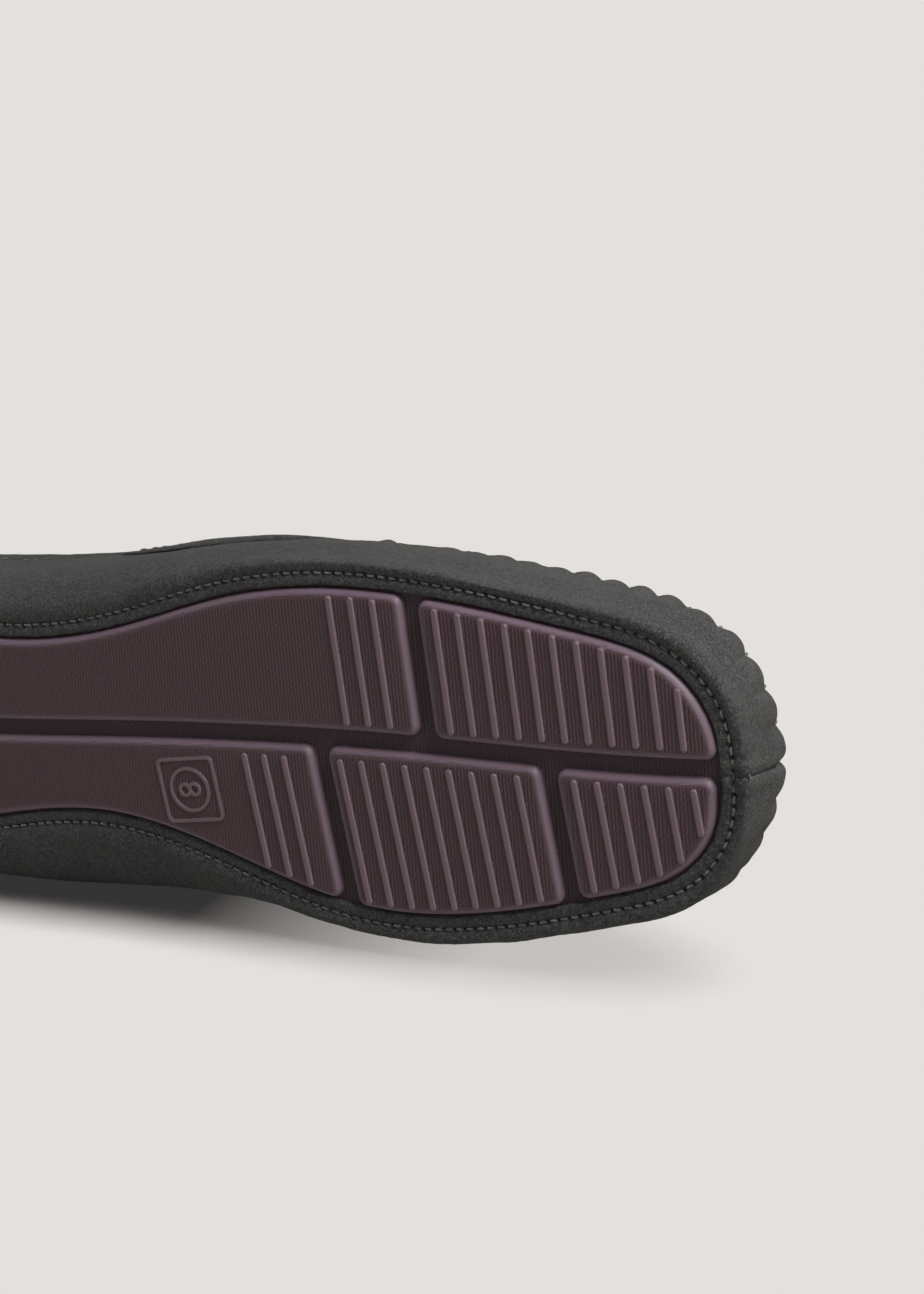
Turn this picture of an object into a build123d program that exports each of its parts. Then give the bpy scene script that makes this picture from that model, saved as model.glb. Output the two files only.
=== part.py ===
from build123d import *
import math
import os

# A right-foot moccasin house slipper: a moulded rubber sole unit, a suede upper in two wraps
# with a puckered apron and a saddle strap, and a plush lining.
# Millimetres. The slipper stands on its sole: +Z up, toe towards -Y, outer side of the foot
# towards -X. The origin is the middle of its plan box, on the plane its sole ribs rest on.

# ---------------------------------------------------------------- driving dimensions
# Heights of the sole layers, from the ground up
RIB_HEIGHT = 0.5
PAD_FACE = RIB_HEIGHT
SUEDE = 1.4
RIM_BOTTOM = 1.5
PLATE_BOTTOM = RIM_BOTTOM + SUEDE
PLATE_TOP = PLATE_BOTTOM + 1.5
BOARD_BOTTOM = 8.0
BOARD_TOP = 9.0
SOCK_BOTTOM = 12.5
SOCK_TOP = 15.0

# Layers of the upper, measured inwards from the outer face of the suede
LINING_DEPTH = 4.2
COUNTER_DEPTH = 2.6
STRAP = 1.6
BINDING = 0.9
BINDING_DROP = 8.0
PATCH = 1.2
THREAD = 0.4

# The wall is widest at this height, and leans inwards above it
WIDEST_Z = 14.0
WALL_HEIGHTS = [22.0, 32.0, 43.0, 54.0, 78.0]
LEAN_RATE = 0.12
LEAN_BEND = 0.0035
LEAN_LIMIT = 16.0
RIM_FLAT = 5.2

# Outline of the window in the suede rim, where the rubber shows, toe first, then outer side
RUBBER_EDGE = [
    (-1.8, -133.6), (-16.8, -130.8), (-26.3, -121.5), (-31.8, -103), (-36.3, -77),
    (-39.1, -45), (-35.8, -15), (-26.8, 17), (-22.8, 50), (-25.3, 80), (-25.3, 104),
    (-16.3, 126), (0.7, 133.6), (17.7, 126), (27.2, 104), (27.2, 78), (22.2, 50),
    (20, 24), (26.2, -5), (35.2, -33), (37.8, -56), (34.5, -82), (28.7, -105),
    (22, -122.5), (11.2, -131.6),
]
# The same stations round the widest line of the upper
WIDEST = [
    (-1.8, -141.3), (-20.3, -136.6), (-31.6, -125), (-37.3, -105), (-42.3, -77),
    (-45.3, -45), (-44.6, -15), (-39.8, 17), (-35.8, 50), (-34.3, 80), (-33.3, 105),
    (-24.3, 133), (0.7, 141.3), (24.7, 133), (36.5, 106), (42, 78), (43.4, 50),
    (42.2, 24), (42.2, -5), (44.3, -33), (45.3, -57), (42.5, -83), (36.5, -107.5),
    (28.5, -126.5), (14.9, -137.6),
]
# The stations where an outline's four runs meet: toe, outer side, heel, inner side, toe
RUN_ENDS = [0, 6, 12, 19, 25]
# How strongly the wall leans in, by distance along the slipper
LEAN = [
    (-142, 1.9), (-120, 1.8), (-90, 1.55), (-60, 1.3), (-40, 1.3), (-20, 1.2), (-5, 0.9),
    (10, 0.75), (60, 0.68), (142, 0.68),
]

# The top of the forefoot: (y, height at the middle, drop to the apron ridge, half width)
THROAT_Y = -8.0
ROOF = [
    (-150, 17, 0.5, 20), (-139, 21.5, 1.5, 22), (-132, 26.5, 5.5, 26), (-125, 31, 9.5, 30),
    (-110, 38, 14, 36), (-90, 45.5, 17.5, 40), (-70, 53, 21, 42), (-50, 60, 23, 42),
    (-30, 67, 23, 41), (-15, 71.5, 17.5, 38), (THROAT_Y, 73, 13, 36),
]
# The top edge of the quarters, from the throat to the back of the heel
TOPLINE = [(THROAT_Y, 60), (20, 53), (60, 48.5), (100, 52), (125, 58.5), (150, 64)]

# The saddle strap seen from the side, as (y, z): front edge down, then back up behind
STRAP_SIDE = [
    (-38, 85), (-36, 68), (-28, 56), (-16, 45), (-7, 36), (30, 33), (38, 37), (37, 46),
    (20, 51), (0, 58), (-9, 66), (-9, 85),
]
# Back tab and stiffener at the heel
PATCH_HALF_TOP = 9.0
PATCH_CORNER = 4.0
PATCH_HALF_BOTTOM = 15.0
PATCH_BOTTOM = 12.5
PATCH_TOP = 50.0
COUNTER_FRONT = 82.0
COUNTER_TOP = 40.0

# Seam plane of the two wraps: through the middle of the toe and of the heel
TOE_SEAM_X = -1.8
HEEL_SEAM_X = 0.7
# How far the toe and the heel lie from the middle
HEEL_Y = 138.0

# Stitching
SOLE_STITCH_OUT = 3.0
SOLE_STITCH_PITCH = 2.7
STITCH_LENGTH = 2.0
STITCH_WIDTH = 0.55
PUCKER_PITCH = 8.0
PUCKER_REAR = -30.0
STRAP_STITCH_PITCH = 3.4
STRAP_CORNER = 4.0
STITCH_EDGE = 2.5
COLLAR_STITCH_FRONT = 41.0
COLLAR_STITCH_PITCH = 3.4
APRON_STITCH_IN = 6.5
APRON_STITCH_LENGTH = 4.0
APRON_STITCH_WIDTH = 0.9
PATCH_STITCH_END = 4.0
PATCH_STITCH_EDGE = 2.0
TOE_STITCH_ROWS = 4
TOE_STITCH_BOTTOM = 6.0
TOE_STITCH_PITCH = 3.2
TOE_STITCH_LENGTH = 2.8
# A stitch's block reaches this far into and out of the face it lies on
STITCH_REACH = 8.0

# Sole unit
FLANGE_OUT = 3.4
EDGE_GAP = 0.5
PAD_EDGE_RADIUS = 2.1
PAD_CORNER_RADIUS = 2.6
CHANNEL_WIDTH = 3.9
CROSS_WIDTH = 3.6
CHANNEL_LINE = [
    (-3.2, -136), (-3.0, -75), (-3.5, -52), (-3.1, -20), (-1.8, 15), (0.2, 52), (1.2, 90),
    (1.0, 136),
]
LATERAL_SLANT = -3.3
MEDIAL_SLANT = -7.0
# Cross channels: (side, y where it leaves the long channel, slant)
CROSS_CHANNELS = [
    (-1, -65.0, LATERAL_SLANT), (1, -36.1, MEDIAL_SLANT), (1, -93.1, MEDIAL_SLANT),
    (-1, 76, 0), (1, 76, 0),
]
RIB_WIDTH = 1.6
RIB_EMBED = 0.2
RIB_EDGE_RADIUS = 0.35
# How far a rib stops from the middle of the long channel, by side, and from the pad's edge
RIB_START = {-1: 3.6, 1: 4.4}
RIB_END = 1.4
# Rib groups: (side, y of the first rib, pitch, count, slant)
RIB_GROUPS = [
    (-1, -126.0, 5.55, 11, LATERAL_SLANT), (-1, -55.3, 5.55, 3, LATERAL_SLANT),
    (1, -128.5, 5.37, 6, MEDIAL_SLANT), (1, -88.2, 5.5, 9, MEDIAL_SLANT),
    (1, -29.2, 5.4, 3, MEDIAL_SLANT), (-1, 60.0, 5.5, 3, 0), (1, 60.0, 5.5, 3, 0),
    (-1, 82.0, 5.5, 8, 0), (1, 82.0, 5.5, 8, 0),
]
MARK_X = 11.5
MARK_Y = -0.7
MARK_SIDE = 16.0
MARK_TURN = -7.0
MARK_STROKE = 0.9
MARK_CORNER = 1.7
MARK_RING = 5.6
DIGIT_LOOP = 1.8
MARK_HEIGHT = 0.35

# Reach of the blocks that cut the layers apart
FAR = 70.0
CEILING = 120.0
ROOF_REACH = 1.25
CUT_MARGIN = 0.5
EDGE_SAMPLES = 400


# ---------------------------------------------------------------- helpers
def interpolate(table, y):
    """The value at y in a table of (y, value) pairs, straight between its rows."""
    if y <= table[0][0]:
        return table[0][1]
    for (y0, v0), (y1, v1) in zip(table, table[1:]):
        if y <= y1:
            return v0 + (v1 - v0) * (y - y0) / (y1 - y0)
    return table[-1][1]


def outward(points, distance):
    """Move each point of a clockwise outline outwards, square to the outline."""
    moved = []
    for before, here, after in zip(points[-1:] + points[:-1], points, points[1:] + points[:1]):
        dx, dy = after[0] - before[0], after[1] - before[1]
        length = math.hypot(dx, dy)
        moved.append((here[0] - distance * dy / length, here[1] + distance * dx / length))
    return moved


def stations():
    """How far round the widest outline each of its points lies, from 0 to 1."""
    lengths = [math.dist(a, b) for a, b in zip(WIDEST, WIDEST[1:] + WIDEST[:1])]
    return [sum(lengths[:index]) / sum(lengths) for index in range(len(lengths) + 1)]


# Every outline has the same stations, so the layers of the upper stay parallel
STATIONS = stations()


def outline(points, z=0.0):
    """A smooth closed wire through the points at one height, in four runs."""
    places = [Vector(x, y, z) for x, y in points]
    curve = Edge.make_spline(places, parameters=STATIONS, periodic=True)
    cuts = [STATIONS[index] for index in RUN_ENDS]
    return Wire([curve.trim(start, end) for start, end in zip(cuts, cuts[1:])])


def plate(points, bottom, top):
    """A flat plate with a smooth closed outline."""
    return extrude(Face(outline(points, bottom)), amount=top - bottom, dir=(0, 0, 1))


def slab(bottom, top):
    """Everything between two heights."""
    return Pos(0, 0, (bottom + top) / 2) * Box(4 * FAR, 6 * FAR, top - bottom)


def wall_points(z, inset):
    """The outline of the upper at a height, for the layer that lies inset inside its face."""
    bottom = RIM_BOTTOM + inset
    rise = min(1.0, max(0.0, (z - bottom) / (WIDEST_Z - bottom)))
    above = max(0.0, z - WIDEST_Z)
    lean = LEAN_RATE * above + LEAN_BEND * above ** 2
    points = []
    for inner, outer in zip(RUBBER_EDGE, WIDEST):
        flat = RIM_FLAT / math.dist(inner, outer)
        share = flat + (1 - flat) * math.sqrt(1 - (1 - rise) ** 2)
        points.append((
            inner[0] + share * (outer[0] - inner[0]),
            inner[1] + share * (outer[1] - inner[1]),
        ))
    depths = [inset + min(LEAN_LIMIT, lean * interpolate(LEAN, y)) for x, y in points]
    return [outward(points, -depth)[index] for index, depth in enumerate(depths)]


def walls(inset):
    """The solid inside the wall of the upper, for one layer."""
    bottom = RIM_BOTTOM + inset
    heights = [bottom + (WIDEST_Z - bottom) * share for share in (0, 0.12, 0.42, 1)]
    sections = [outline(wall_points(z, inset), z) for z in heights + WALL_HEIGHTS]
    return Solid.make_loft(sections, ruled=True)


def above_roof(inset):
    """Everything above the top of the forefoot, for one layer."""
    wires = []
    for y, middle, drop, half in ROOF:
        edge = [
            Vector(ROOF_REACH * half * k, y, middle - inset - drop * (ROOF_REACH * k) ** 2)
            for k in (-1, -0.5, 0, 0.5, 1)
        ]
        corners = [edge[-1], Vector(edge[-1].X, y, CEILING), Vector(edge[0].X, y, CEILING), edge[0]]
        lines = [Edge.make_line(a, b) for a, b in zip(corners, corners[1:])]
        wires.append(Wire([Edge.make_spline(edge)] + lines))
    return Solid.make_loft(wires)


def side_profile(points):
    """A solid across the slipper from a closed outline of (y, z) points."""
    wire = Wire.make_polygon([Vector(-FAR, y, z) for y, z in points], close=True)
    return extrude(Face(wire), amount=2 * FAR, dir=(1, 0, 0))


def above_topline(lift):
    """Everything above the top edge of the quarters, raised by lift."""
    edge = [Vector(-FAR, y, z + lift) for y, z in TOPLINE]
    high = [Vector(-FAR, y, CEILING) for y in (TOPLINE[-1][0], THROAT_Y)]
    corners = [edge[-1]] + high + [edge[0]]
    lines = [Edge.make_line(a, b) for a, b in zip(corners, corners[1:])]
    return extrude(Face(Wire([Edge.make_spline(edge)] + lines)), amount=2 * FAR, dir=(1, 0, 0))


def along(points, pitch):
    """Evenly spaced places and headings round a closed outline: (x, y, degrees)."""
    wire = outline(points)
    count = round(wire.length / pitch)
    places = []
    for index in range(count):
        place = wire.position_at(index / count)
        heading = wire.tangent_at(index / count)
        places.append((place.X, place.Y, math.degrees(math.atan2(heading.Y, heading.X))))
    return places


def edge_x(y, side, inset):
    """Where the window's edge, moved in by inset, lies at y on one side (-1 outer, 1 inner)."""
    wire = outline(outward(RUBBER_EDGE, -inset))
    samples = [wire.position_at(k / EDGE_SAMPLES) for k in range(EDGE_SAMPLES + 1)]
    crossings = []
    for a, b in zip(samples, samples[1:]):
        if (a.Y - y) * (b.Y - y) <= 0 and a.Y != b.Y:
            crossings.append(a.X + (b.X - a.X) * (y - a.Y) / (b.Y - a.Y))
    return max(crossings, key=lambda x: x * side)


def channel_x(y):
    """The middle of the long channel at y."""
    return interpolate([(py, px) for px, py in CHANNEL_LINE], y)


# ---------------------------------------------------------------- sole unit
def rib(x0, x1, y, slant):
    """A low rounded bar on a pad, from x0 to x1, centred at y and slanted in degrees."""
    length = abs(x1 - x0) / math.cos(math.radians(slant))
    bar = extrude(SlotOverall(length, RIB_WIDTH), amount=RIB_HEIGHT + RIB_EMBED)
    bar = fillet(bar.faces().sort_by(Axis.Z)[0].edges(), RIB_EDGE_RADIUS)
    return Pos((x0 + x1) / 2, y, 0) * Rot(0, 0, slant) * bar


def size_mark():
    """A raised frame, ring and size digit, laid along the slipper."""
    inside = MARK_SIDE - 2 * MARK_STROKE
    frame = RectangleRounded(MARK_SIDE, MARK_SIDE, MARK_CORNER)
    frame -= RectangleRounded(inside, inside, MARK_CORNER - MARK_STROKE)
    ring = Circle(MARK_RING) - Circle(MARK_RING - MARK_STROKE)
    loop = Circle(DIGIT_LOOP) - Circle(DIGIT_LOOP - MARK_STROKE)
    rise = DIGIT_LOOP - MARK_STROKE / 2
    digit = Pos(0, rise) * loop + Pos(0, -rise) * loop
    mark = extrude(frame + ring + digit, amount=MARK_HEIGHT + RIB_EMBED)
    return Pos(MARK_X, MARK_Y, PAD_FACE - MARK_HEIGHT) * Rot(0, 0, MARK_TURN) * mark


def pad_outlines():
    """The pads, cut from the window's shape by the channels."""
    field = Face(outline(outward(RUBBER_EDGE, -EDGE_GAP), PLATE_BOTTOM))
    line = [Vector(x, y, PLATE_BOTTOM) for x, y in CHANNEL_LINE]
    half = CHANNEL_WIDTH / 2
    left = Edge.make_spline([v - Vector(half, 0, 0) for v in line])
    right = Edge.make_spline([v + Vector(half, 0, 0) for v in line])
    ends = [Edge.make_line(left @ 1, right @ 1), Edge.make_line(right @ 0, left @ 0)]
    rest = field - Face(Wire([left, right] + ends))
    for side, y, slant in CROSS_CHANNELS:
        place = Pos(channel_x(y), y, PLATE_BOTTOM) * Rot(0, 0, slant) * Pos(side * FAR / 2, 0)
        rest -= place * Rectangle(FAR, CROSS_WIDTH)
    return [face.fillet_2d(PAD_CORNER_RADIUS, face.vertices()) for face in rest.faces()]


def outsole():
    """One rubber moulding: a flange plate with raised pads, ribs and the size mark."""
    unit = plate(outward(RUBBER_EDGE, FLANGE_OUT), PLATE_BOTTOM, PLATE_TOP)
    raised = []
    for face in pad_outlines():
        pad = extrude(face, amount=PLATE_BOTTOM - PAD_FACE, dir=(0, 0, -1))
        pad = fillet(pad.faces().sort_by(Axis.Z)[0].edges(), PAD_EDGE_RADIUS)
        raised.append(pad)
    for side, first, pitch, count, slant in RIB_GROUPS:
        for index in range(count):
            y = first + pitch * index
            near = channel_x(y) + side * RIB_START[side]
            far = edge_x(y, side, EDGE_GAP + RIB_END)
            drift = side * math.tan(math.radians(slant)) * abs(far - near) / 2
            far = edge_x(y + drift, side, EDGE_GAP + RIB_END)
            raised.append(rib(near, far, y, slant))
    return unit.fuse(*raised, size_mark())


# ---------------------------------------------------------------- upper
class Layers:
    """The walls and roof cuts of each layer depth, built once each."""

    def __init__(self):
        self.wall_of = {}
        self.roof_of = {}

    def wall(self, inset):
        if inset not in self.wall_of:
            self.wall_of[inset] = walls(inset)
        return self.wall_of[inset]

    def roof(self, inset):
        if inset not in self.roof_of:
            self.roof_of[inset] = above_roof(inset)
        return self.roof_of[inset]

    def form(self, inset):
        return self.wall(inset) - self.roof(inset)


def seam_half(side):
    """Everything on one side of the seam plane (-1 outer, 1 inner)."""
    turn = math.degrees(math.atan2(HEEL_SEAM_X - TOE_SEAM_X, 2 * WIDEST[12][1]))
    middle = (TOE_SEAM_X + HEEL_SEAM_X) / 2
    block = Pos(side * FAR, 0, 0) * Box(2 * FAR, 6 * FAR, 6 * FAR)
    return Pos(middle, 0, 0) * Rot(0, 0, -turn) * block


def wraps(layers):
    """The outer and inner suede wraps, turned under the foot to the rubber's edge."""
    window = plate(RUBBER_EDGE, RIM_BOTTOM - CUT_MARGIN, PLATE_BOTTOM + CUT_MARGIN)
    shell = layers.form(0) - above_topline(0) - layers.wall(SUEDE) - window
    return shell & seam_half(-1), shell & seam_half(1)


def apron(layers):
    """The suede top of the forefoot, inside the ridge of the wraps."""
    return (layers.wall(SUEDE) & layers.roof(SUEDE)) - layers.roof(0)


def saddle_strap(layers, binding):
    """The band over the instep with its two swept-back ends."""
    shell = layers.form(-STRAP) - layers.form(0) - above_topline(0)
    return (shell & side_profile(STRAP_SIDE)) - binding


def collar_binding(layers):
    """Suede tape folded over the top edge of the quarters."""
    depth = LINING_DEPTH + BINDING
    rear = Pos(0, THROAT_Y + 2 * FAR, 0) * Box(4 * FAR, 4 * FAR, 6 * FAR)
    band = (layers.wall(-BINDING) - layers.wall(depth)) & rear
    band = band - above_topline(BINDING)
    lower = [(y, z - BINDING_DROP) for y, z in TOPLINE]
    band -= side_profile([(TOPLINE[0][0] - FAR, 0)] + lower + [(TOPLINE[-1][0], 0)])
    core = (layers.wall(0) - layers.wall(LINING_DEPTH)) - above_topline(0)
    return band - core


def heel_patch(layers):
    """The tab that covers the seam at the back of the heel."""
    shape = Pos(HEEL_SEAM_X, 0) * Polygon(
        (-PATCH_HALF_BOTTOM, PATCH_BOTTOM), (PATCH_HALF_BOTTOM, PATCH_BOTTOM),
        (PATCH_HALF_TOP, PATCH_TOP), (-PATCH_HALF_TOP, PATCH_TOP), align=None,
    )
    shape = fillet(shape.vertices(), PATCH_CORNER)
    region = extrude(Plane.XZ.offset(-HEEL_Y - STITCH_REACH) * shape, amount=4 * STITCH_REACH)
    return (layers.wall(-PATCH) - layers.wall(0)) & region


def heel_counter(layers):
    """The stiffener between suede and lining round the heel."""
    region = Pos(0, COUNTER_FRONT + FAR, (BOARD_TOP + COUNTER_TOP) / 2)
    region = region * Box(4 * FAR, 2 * FAR, COUNTER_TOP - BOARD_TOP)
    return (layers.wall(SUEDE) - layers.wall(COUNTER_DEPTH)) & region


def linings(layers, counter):
    """The plush linings of the forefoot and of the quarters."""
    shell = layers.form(SUEDE) - above_topline(0) - layers.form(LINING_DEPTH)
    shell = (shell & slab(BOARD_TOP, CEILING)) - counter
    front = Pos(0, THROAT_Y - 2 * FAR, 0) * Box(4 * FAR, 4 * FAR, 6 * FAR)
    return shell & front, shell - front


# ---------------------------------------------------------------- stitching
def sole_stitches():
    """The row that sews the suede rim to the rubber flange, lying on the rim."""
    rows = []
    for x, y, heading in along(outward(RUBBER_EDGE, SOLE_STITCH_OUT), SOLE_STITCH_PITCH):
        block = Box(STITCH_LENGTH, STITCH_WIDTH, THREAD)
        rows.append(Pos(x, y, RIM_BOTTOM - THREAD / 2) * Rot(0, 0, heading) * block)
    return Compound(children=rows)


def thread_on(surface_layer, blocks):
    """Thread on a curved face: what each stitch's block cuts from a thin layer over it."""
    pieces = surface_layer & Compound(children=blocks)
    return Compound(children=list(pieces.solids()))


def collar_stitches(layers):
    """The row round the collar, through its binding."""
    blocks = []
    for x, y, heading in along(wall_points(TOPLINE[2][1], 0), COLLAR_STITCH_PITCH):
        if y > COLLAR_STITCH_FRONT:
            z = interpolate(TOPLINE, y) - BINDING_DROP + STITCH_EDGE
            block = Box(STITCH_LENGTH, 2 * STITCH_REACH, STITCH_WIDTH)
            blocks.append(Pos(x, y, z) * Rot(0, 0, heading) * block)
    layer = layers.wall(-BINDING - THREAD) - layers.wall(-BINDING)
    return thread_on(layer, blocks)


def apron_stitches(layers):
    """The spaced hand stitches that gather the apron seam round the toe."""
    blocks = []
    seam_line = outward(wall_points(WIDEST_Z, 0), -APRON_STITCH_IN)
    for x, y, heading in along(seam_line, PUCKER_PITCH):
        if y < PUCKER_REAR:
            block = Box(APRON_STITCH_WIDTH, APRON_STITCH_LENGTH, CEILING)
            blocks.append(Pos(x, y, CEILING / 2) * Rot(0, 0, heading) * block)
    layer = (layers.roof(0) - layers.roof(-THREAD)) & layers.wall(SUEDE)
    return thread_on(layer, blocks)


def strap_stitches(layers):
    """The rows that hold the lower ends of the strap to the wraps."""
    blocks = []
    low, rear = STRAP_SIDE[4:6]
    for x, y, heading in along(wall_points(low[1], 0), STRAP_STITCH_PITCH):
        if low[0] + STRAP_CORNER < y < rear[0]:
            slope = (rear[1] - low[1]) / (rear[0] - low[0])
            z = low[1] + STITCH_EDGE + slope * (y - low[0])
            block = Box(STITCH_LENGTH, 2 * STITCH_REACH, STITCH_WIDTH)
            blocks.append(Pos(x, y, z) * Rot(0, 0, heading) * block)
    layer = layers.wall(-STRAP - THREAD) - layers.wall(-STRAP)
    return thread_on(layer, blocks)


def heel_stitches(layers):
    """The row round the heel tab."""
    blocks = []
    rows = int((PATCH_TOP - PATCH_BOTTOM - 2 * PATCH_STITCH_END) / STRAP_STITCH_PITCH)
    for side in (-1, 1):
        for row in range(rows + 1):
            z = PATCH_BOTTOM + PATCH_STITCH_END + row * STRAP_STITCH_PITCH
            share = (z - PATCH_BOTTOM) / (PATCH_TOP - PATCH_BOTTOM)
            half = PATCH_HALF_BOTTOM + share * (PATCH_HALF_TOP - PATCH_HALF_BOTTOM)
            x = HEEL_SEAM_X + side * (half - PATCH_STITCH_EDGE)
            blocks.append(Pos(x, HEEL_Y, z) * Box(STITCH_WIDTH, 4 * STITCH_REACH, STITCH_LENGTH))
    layer = layers.wall(-PATCH - THREAD) - layers.wall(-PATCH)
    return thread_on(layer, blocks)


def toe_seam_stitches(layers):
    """The few stitches that close the short seam at the middle of the toe."""
    blocks = []
    for row in range(TOE_STITCH_ROWS):
        place = Pos(TOE_SEAM_X, -HEEL_Y, TOE_STITCH_BOTTOM + row * TOE_STITCH_PITCH)
        blocks.append(place * Box(TOE_STITCH_LENGTH, 4 * STITCH_REACH, STITCH_WIDTH))
    layer = layers.wall(-THREAD) - layers.wall(0)
    return thread_on(layer, blocks)


# ---------------------------------------------------------------- assembly
def slipper():
    """Every part of the slipper, by name."""
    layers = Layers()
    parts = {}
    parts["outsole"] = outsole()
    parts["midsole_foam"] = layers.wall(SUEDE) & slab(PLATE_TOP, BOARD_BOTTOM)
    parts["insole_board"] = layers.wall(SUEDE) & slab(BOARD_BOTTOM, BOARD_TOP)
    parts["footbed_foam"] = layers.wall(LINING_DEPTH) & slab(BOARD_TOP, SOCK_BOTTOM)
    parts["insole_sock"] = layers.wall(LINING_DEPTH) & slab(SOCK_BOTTOM, SOCK_TOP)
    parts["wrap_lateral"], parts["wrap_medial"] = wraps(layers)
    parts["apron"] = apron(layers)
    parts["collar_binding"] = collar_binding(layers)
    parts["saddle_strap"] = saddle_strap(layers, parts["collar_binding"])
    parts["heel_patch"] = heel_patch(layers)
    parts["heel_counter"] = heel_counter(layers)
    parts["lining_vamp"], parts["lining_quarters"] = linings(layers, parts["heel_counter"])
    parts["sole_stitches"] = sole_stitches()
    parts["collar_stitches"] = collar_stitches(layers)
    parts["apron_stitches"] = apron_stitches(layers)
    parts["strap_stitches"] = strap_stitches(layers)
    parts["heel_patch_stitches"] = heel_stitches(layers)
    parts["toe_seam_stitches"] = toe_seam_stitches(layers)
    return parts


if __name__ == "__main__":
    os.makedirs("parts", exist_ok=True)
    for name, shape in slipper().items():
        export_step(shape, f"parts/{name}.step")
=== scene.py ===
import math

import bpy
import numpy as np
from mathutils import Matrix, Vector, noise


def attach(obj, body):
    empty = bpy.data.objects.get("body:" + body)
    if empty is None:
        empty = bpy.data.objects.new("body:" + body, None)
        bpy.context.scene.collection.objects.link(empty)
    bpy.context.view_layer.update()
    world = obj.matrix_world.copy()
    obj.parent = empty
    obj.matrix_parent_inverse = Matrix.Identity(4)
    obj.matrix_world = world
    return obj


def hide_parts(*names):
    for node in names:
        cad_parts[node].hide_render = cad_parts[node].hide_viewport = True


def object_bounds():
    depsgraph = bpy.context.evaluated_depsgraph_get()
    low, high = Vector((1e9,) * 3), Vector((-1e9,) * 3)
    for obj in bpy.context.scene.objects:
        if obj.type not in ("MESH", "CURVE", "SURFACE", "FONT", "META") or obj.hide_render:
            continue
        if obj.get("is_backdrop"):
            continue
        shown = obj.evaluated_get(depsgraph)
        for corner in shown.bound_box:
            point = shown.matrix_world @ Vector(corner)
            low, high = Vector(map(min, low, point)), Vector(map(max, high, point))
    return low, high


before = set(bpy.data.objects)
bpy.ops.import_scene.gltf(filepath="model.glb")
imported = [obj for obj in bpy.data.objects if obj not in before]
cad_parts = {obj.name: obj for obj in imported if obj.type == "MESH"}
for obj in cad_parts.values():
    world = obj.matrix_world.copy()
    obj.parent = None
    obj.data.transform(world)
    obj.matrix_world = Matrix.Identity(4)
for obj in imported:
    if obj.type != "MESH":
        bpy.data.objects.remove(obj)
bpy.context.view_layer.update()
rng = np.random.default_rng(41)

# A suede moccasin house slipper with a plush lining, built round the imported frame.
# Shapes are worked out in millimetres in the row frame and written in metres. The toe points to
# -Y and the outer side of the foot to -X. A grid is an array of rows, columns and x, y, z.
MM = 0.001

# ---------------------------------------------------------------- driving dimensions
# The suede's rim under the foot, its thickness, and the height where the upper is widest
RIM_BOTTOM = 1.5
SUEDE = 1.4
RIM_FLAT = 5.2
WIDEST_Z = 14.0
# How the wall leans in above that height
LEAN_RATE = 0.12
LEAN_BEND = 0.0035
LEAN_LIMIT = 16.0
WALL_TOP = 77.0
# How deep the lining lies inside the suede's face, and where the foot opening starts
LINING_DEPTH = 4.2
THROAT_Y = -8.0

# The window in the suede rim, where the rubber shows: toe, outer side, heel, inner side
EDGE = np.array([
    (-1.8, -133.6), (-16.8, -130.8), (-26.3, -121.5), (-31.8, -103), (-36.3, -77),
    (-39.1, -45), (-35.8, -15), (-26.8, 17), (-22.8, 50), (-25.3, 80), (-25.3, 104),
    (-16.3, 126), (0.7, 133.6), (17.7, 126), (27.2, 104), (27.2, 78), (22.2, 50),
    (20, 24), (26.2, -5), (35.2, -33), (37.8, -56), (34.5, -82), (28.7, -105),
    (22, -122.5), (11.2, -131.6),
])
# The same stations round the widest line of the upper
WIDEST = np.array([
    (-1.8, -141.3), (-20.3, -136.6), (-31.6, -125), (-37.3, -105), (-42.3, -77),
    (-45.3, -45), (-44.6, -15), (-39.8, 17), (-35.8, 50), (-34.3, 80), (-33.3, 105),
    (-24.3, 133), (0.7, 141.3), (24.7, 133), (36.5, 106), (42, 78), (43.4, 50),
    (42.2, 24), (42.2, -5), (44.3, -33), (45.3, -57), (42.5, -83), (36.5, -107.5),
    (28.5, -126.5), (14.9, -137.6),
])
HEEL_STATION = 12
# How strongly the wall leans in, by distance along the slipper
LEAN = np.array([
    (-142, 1.9), (-120, 1.8), (-90, 1.55), (-60, 1.3), (-40, 1.3), (-20, 1.2), (-5, 0.9),
    (10, 0.75), (60, 0.68), (142, 0.68),
])
# The top of the forefoot: y, height at the middle, drop to the ridge, half width
ROOF = np.array([
    (-150, 17, 0.5, 20), (-139, 21.5, 1.5, 22), (-132, 26.5, 5.5, 26), (-125, 31, 9.5, 30),
    (-110, 38, 14, 36), (-90, 45.5, 17.5, 40), (-70, 53, 21, 42), (-50, 60, 23, 42),
    (-30, 67, 23, 41), (-15, 71.5, 17.5, 38), (-8, 73, 13, 36),
])
# The top edge of the quarters as (y, z), from the throat to the back of the heel
TOPLINE = np.array([(-8, 60), (20, 53), (60, 48.5), (100, 52), (125, 58.5), (150, 64)])
# The saddle strap's edges as (z, y), and the heights of its lower end's two corners
STRAP_FRONT = np.array([(36, -7), (45, -16), (56, -28), (68, -36), (85, -38)])
STRAP_REAR = np.array([(33, 30), (37, 38), (46, 37), (51, 20), (58, 0), (66, -9), (85, -9)])
STRAP_LOW = (36.0, 33.0)

STRAP_TOP = 76.0

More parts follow.
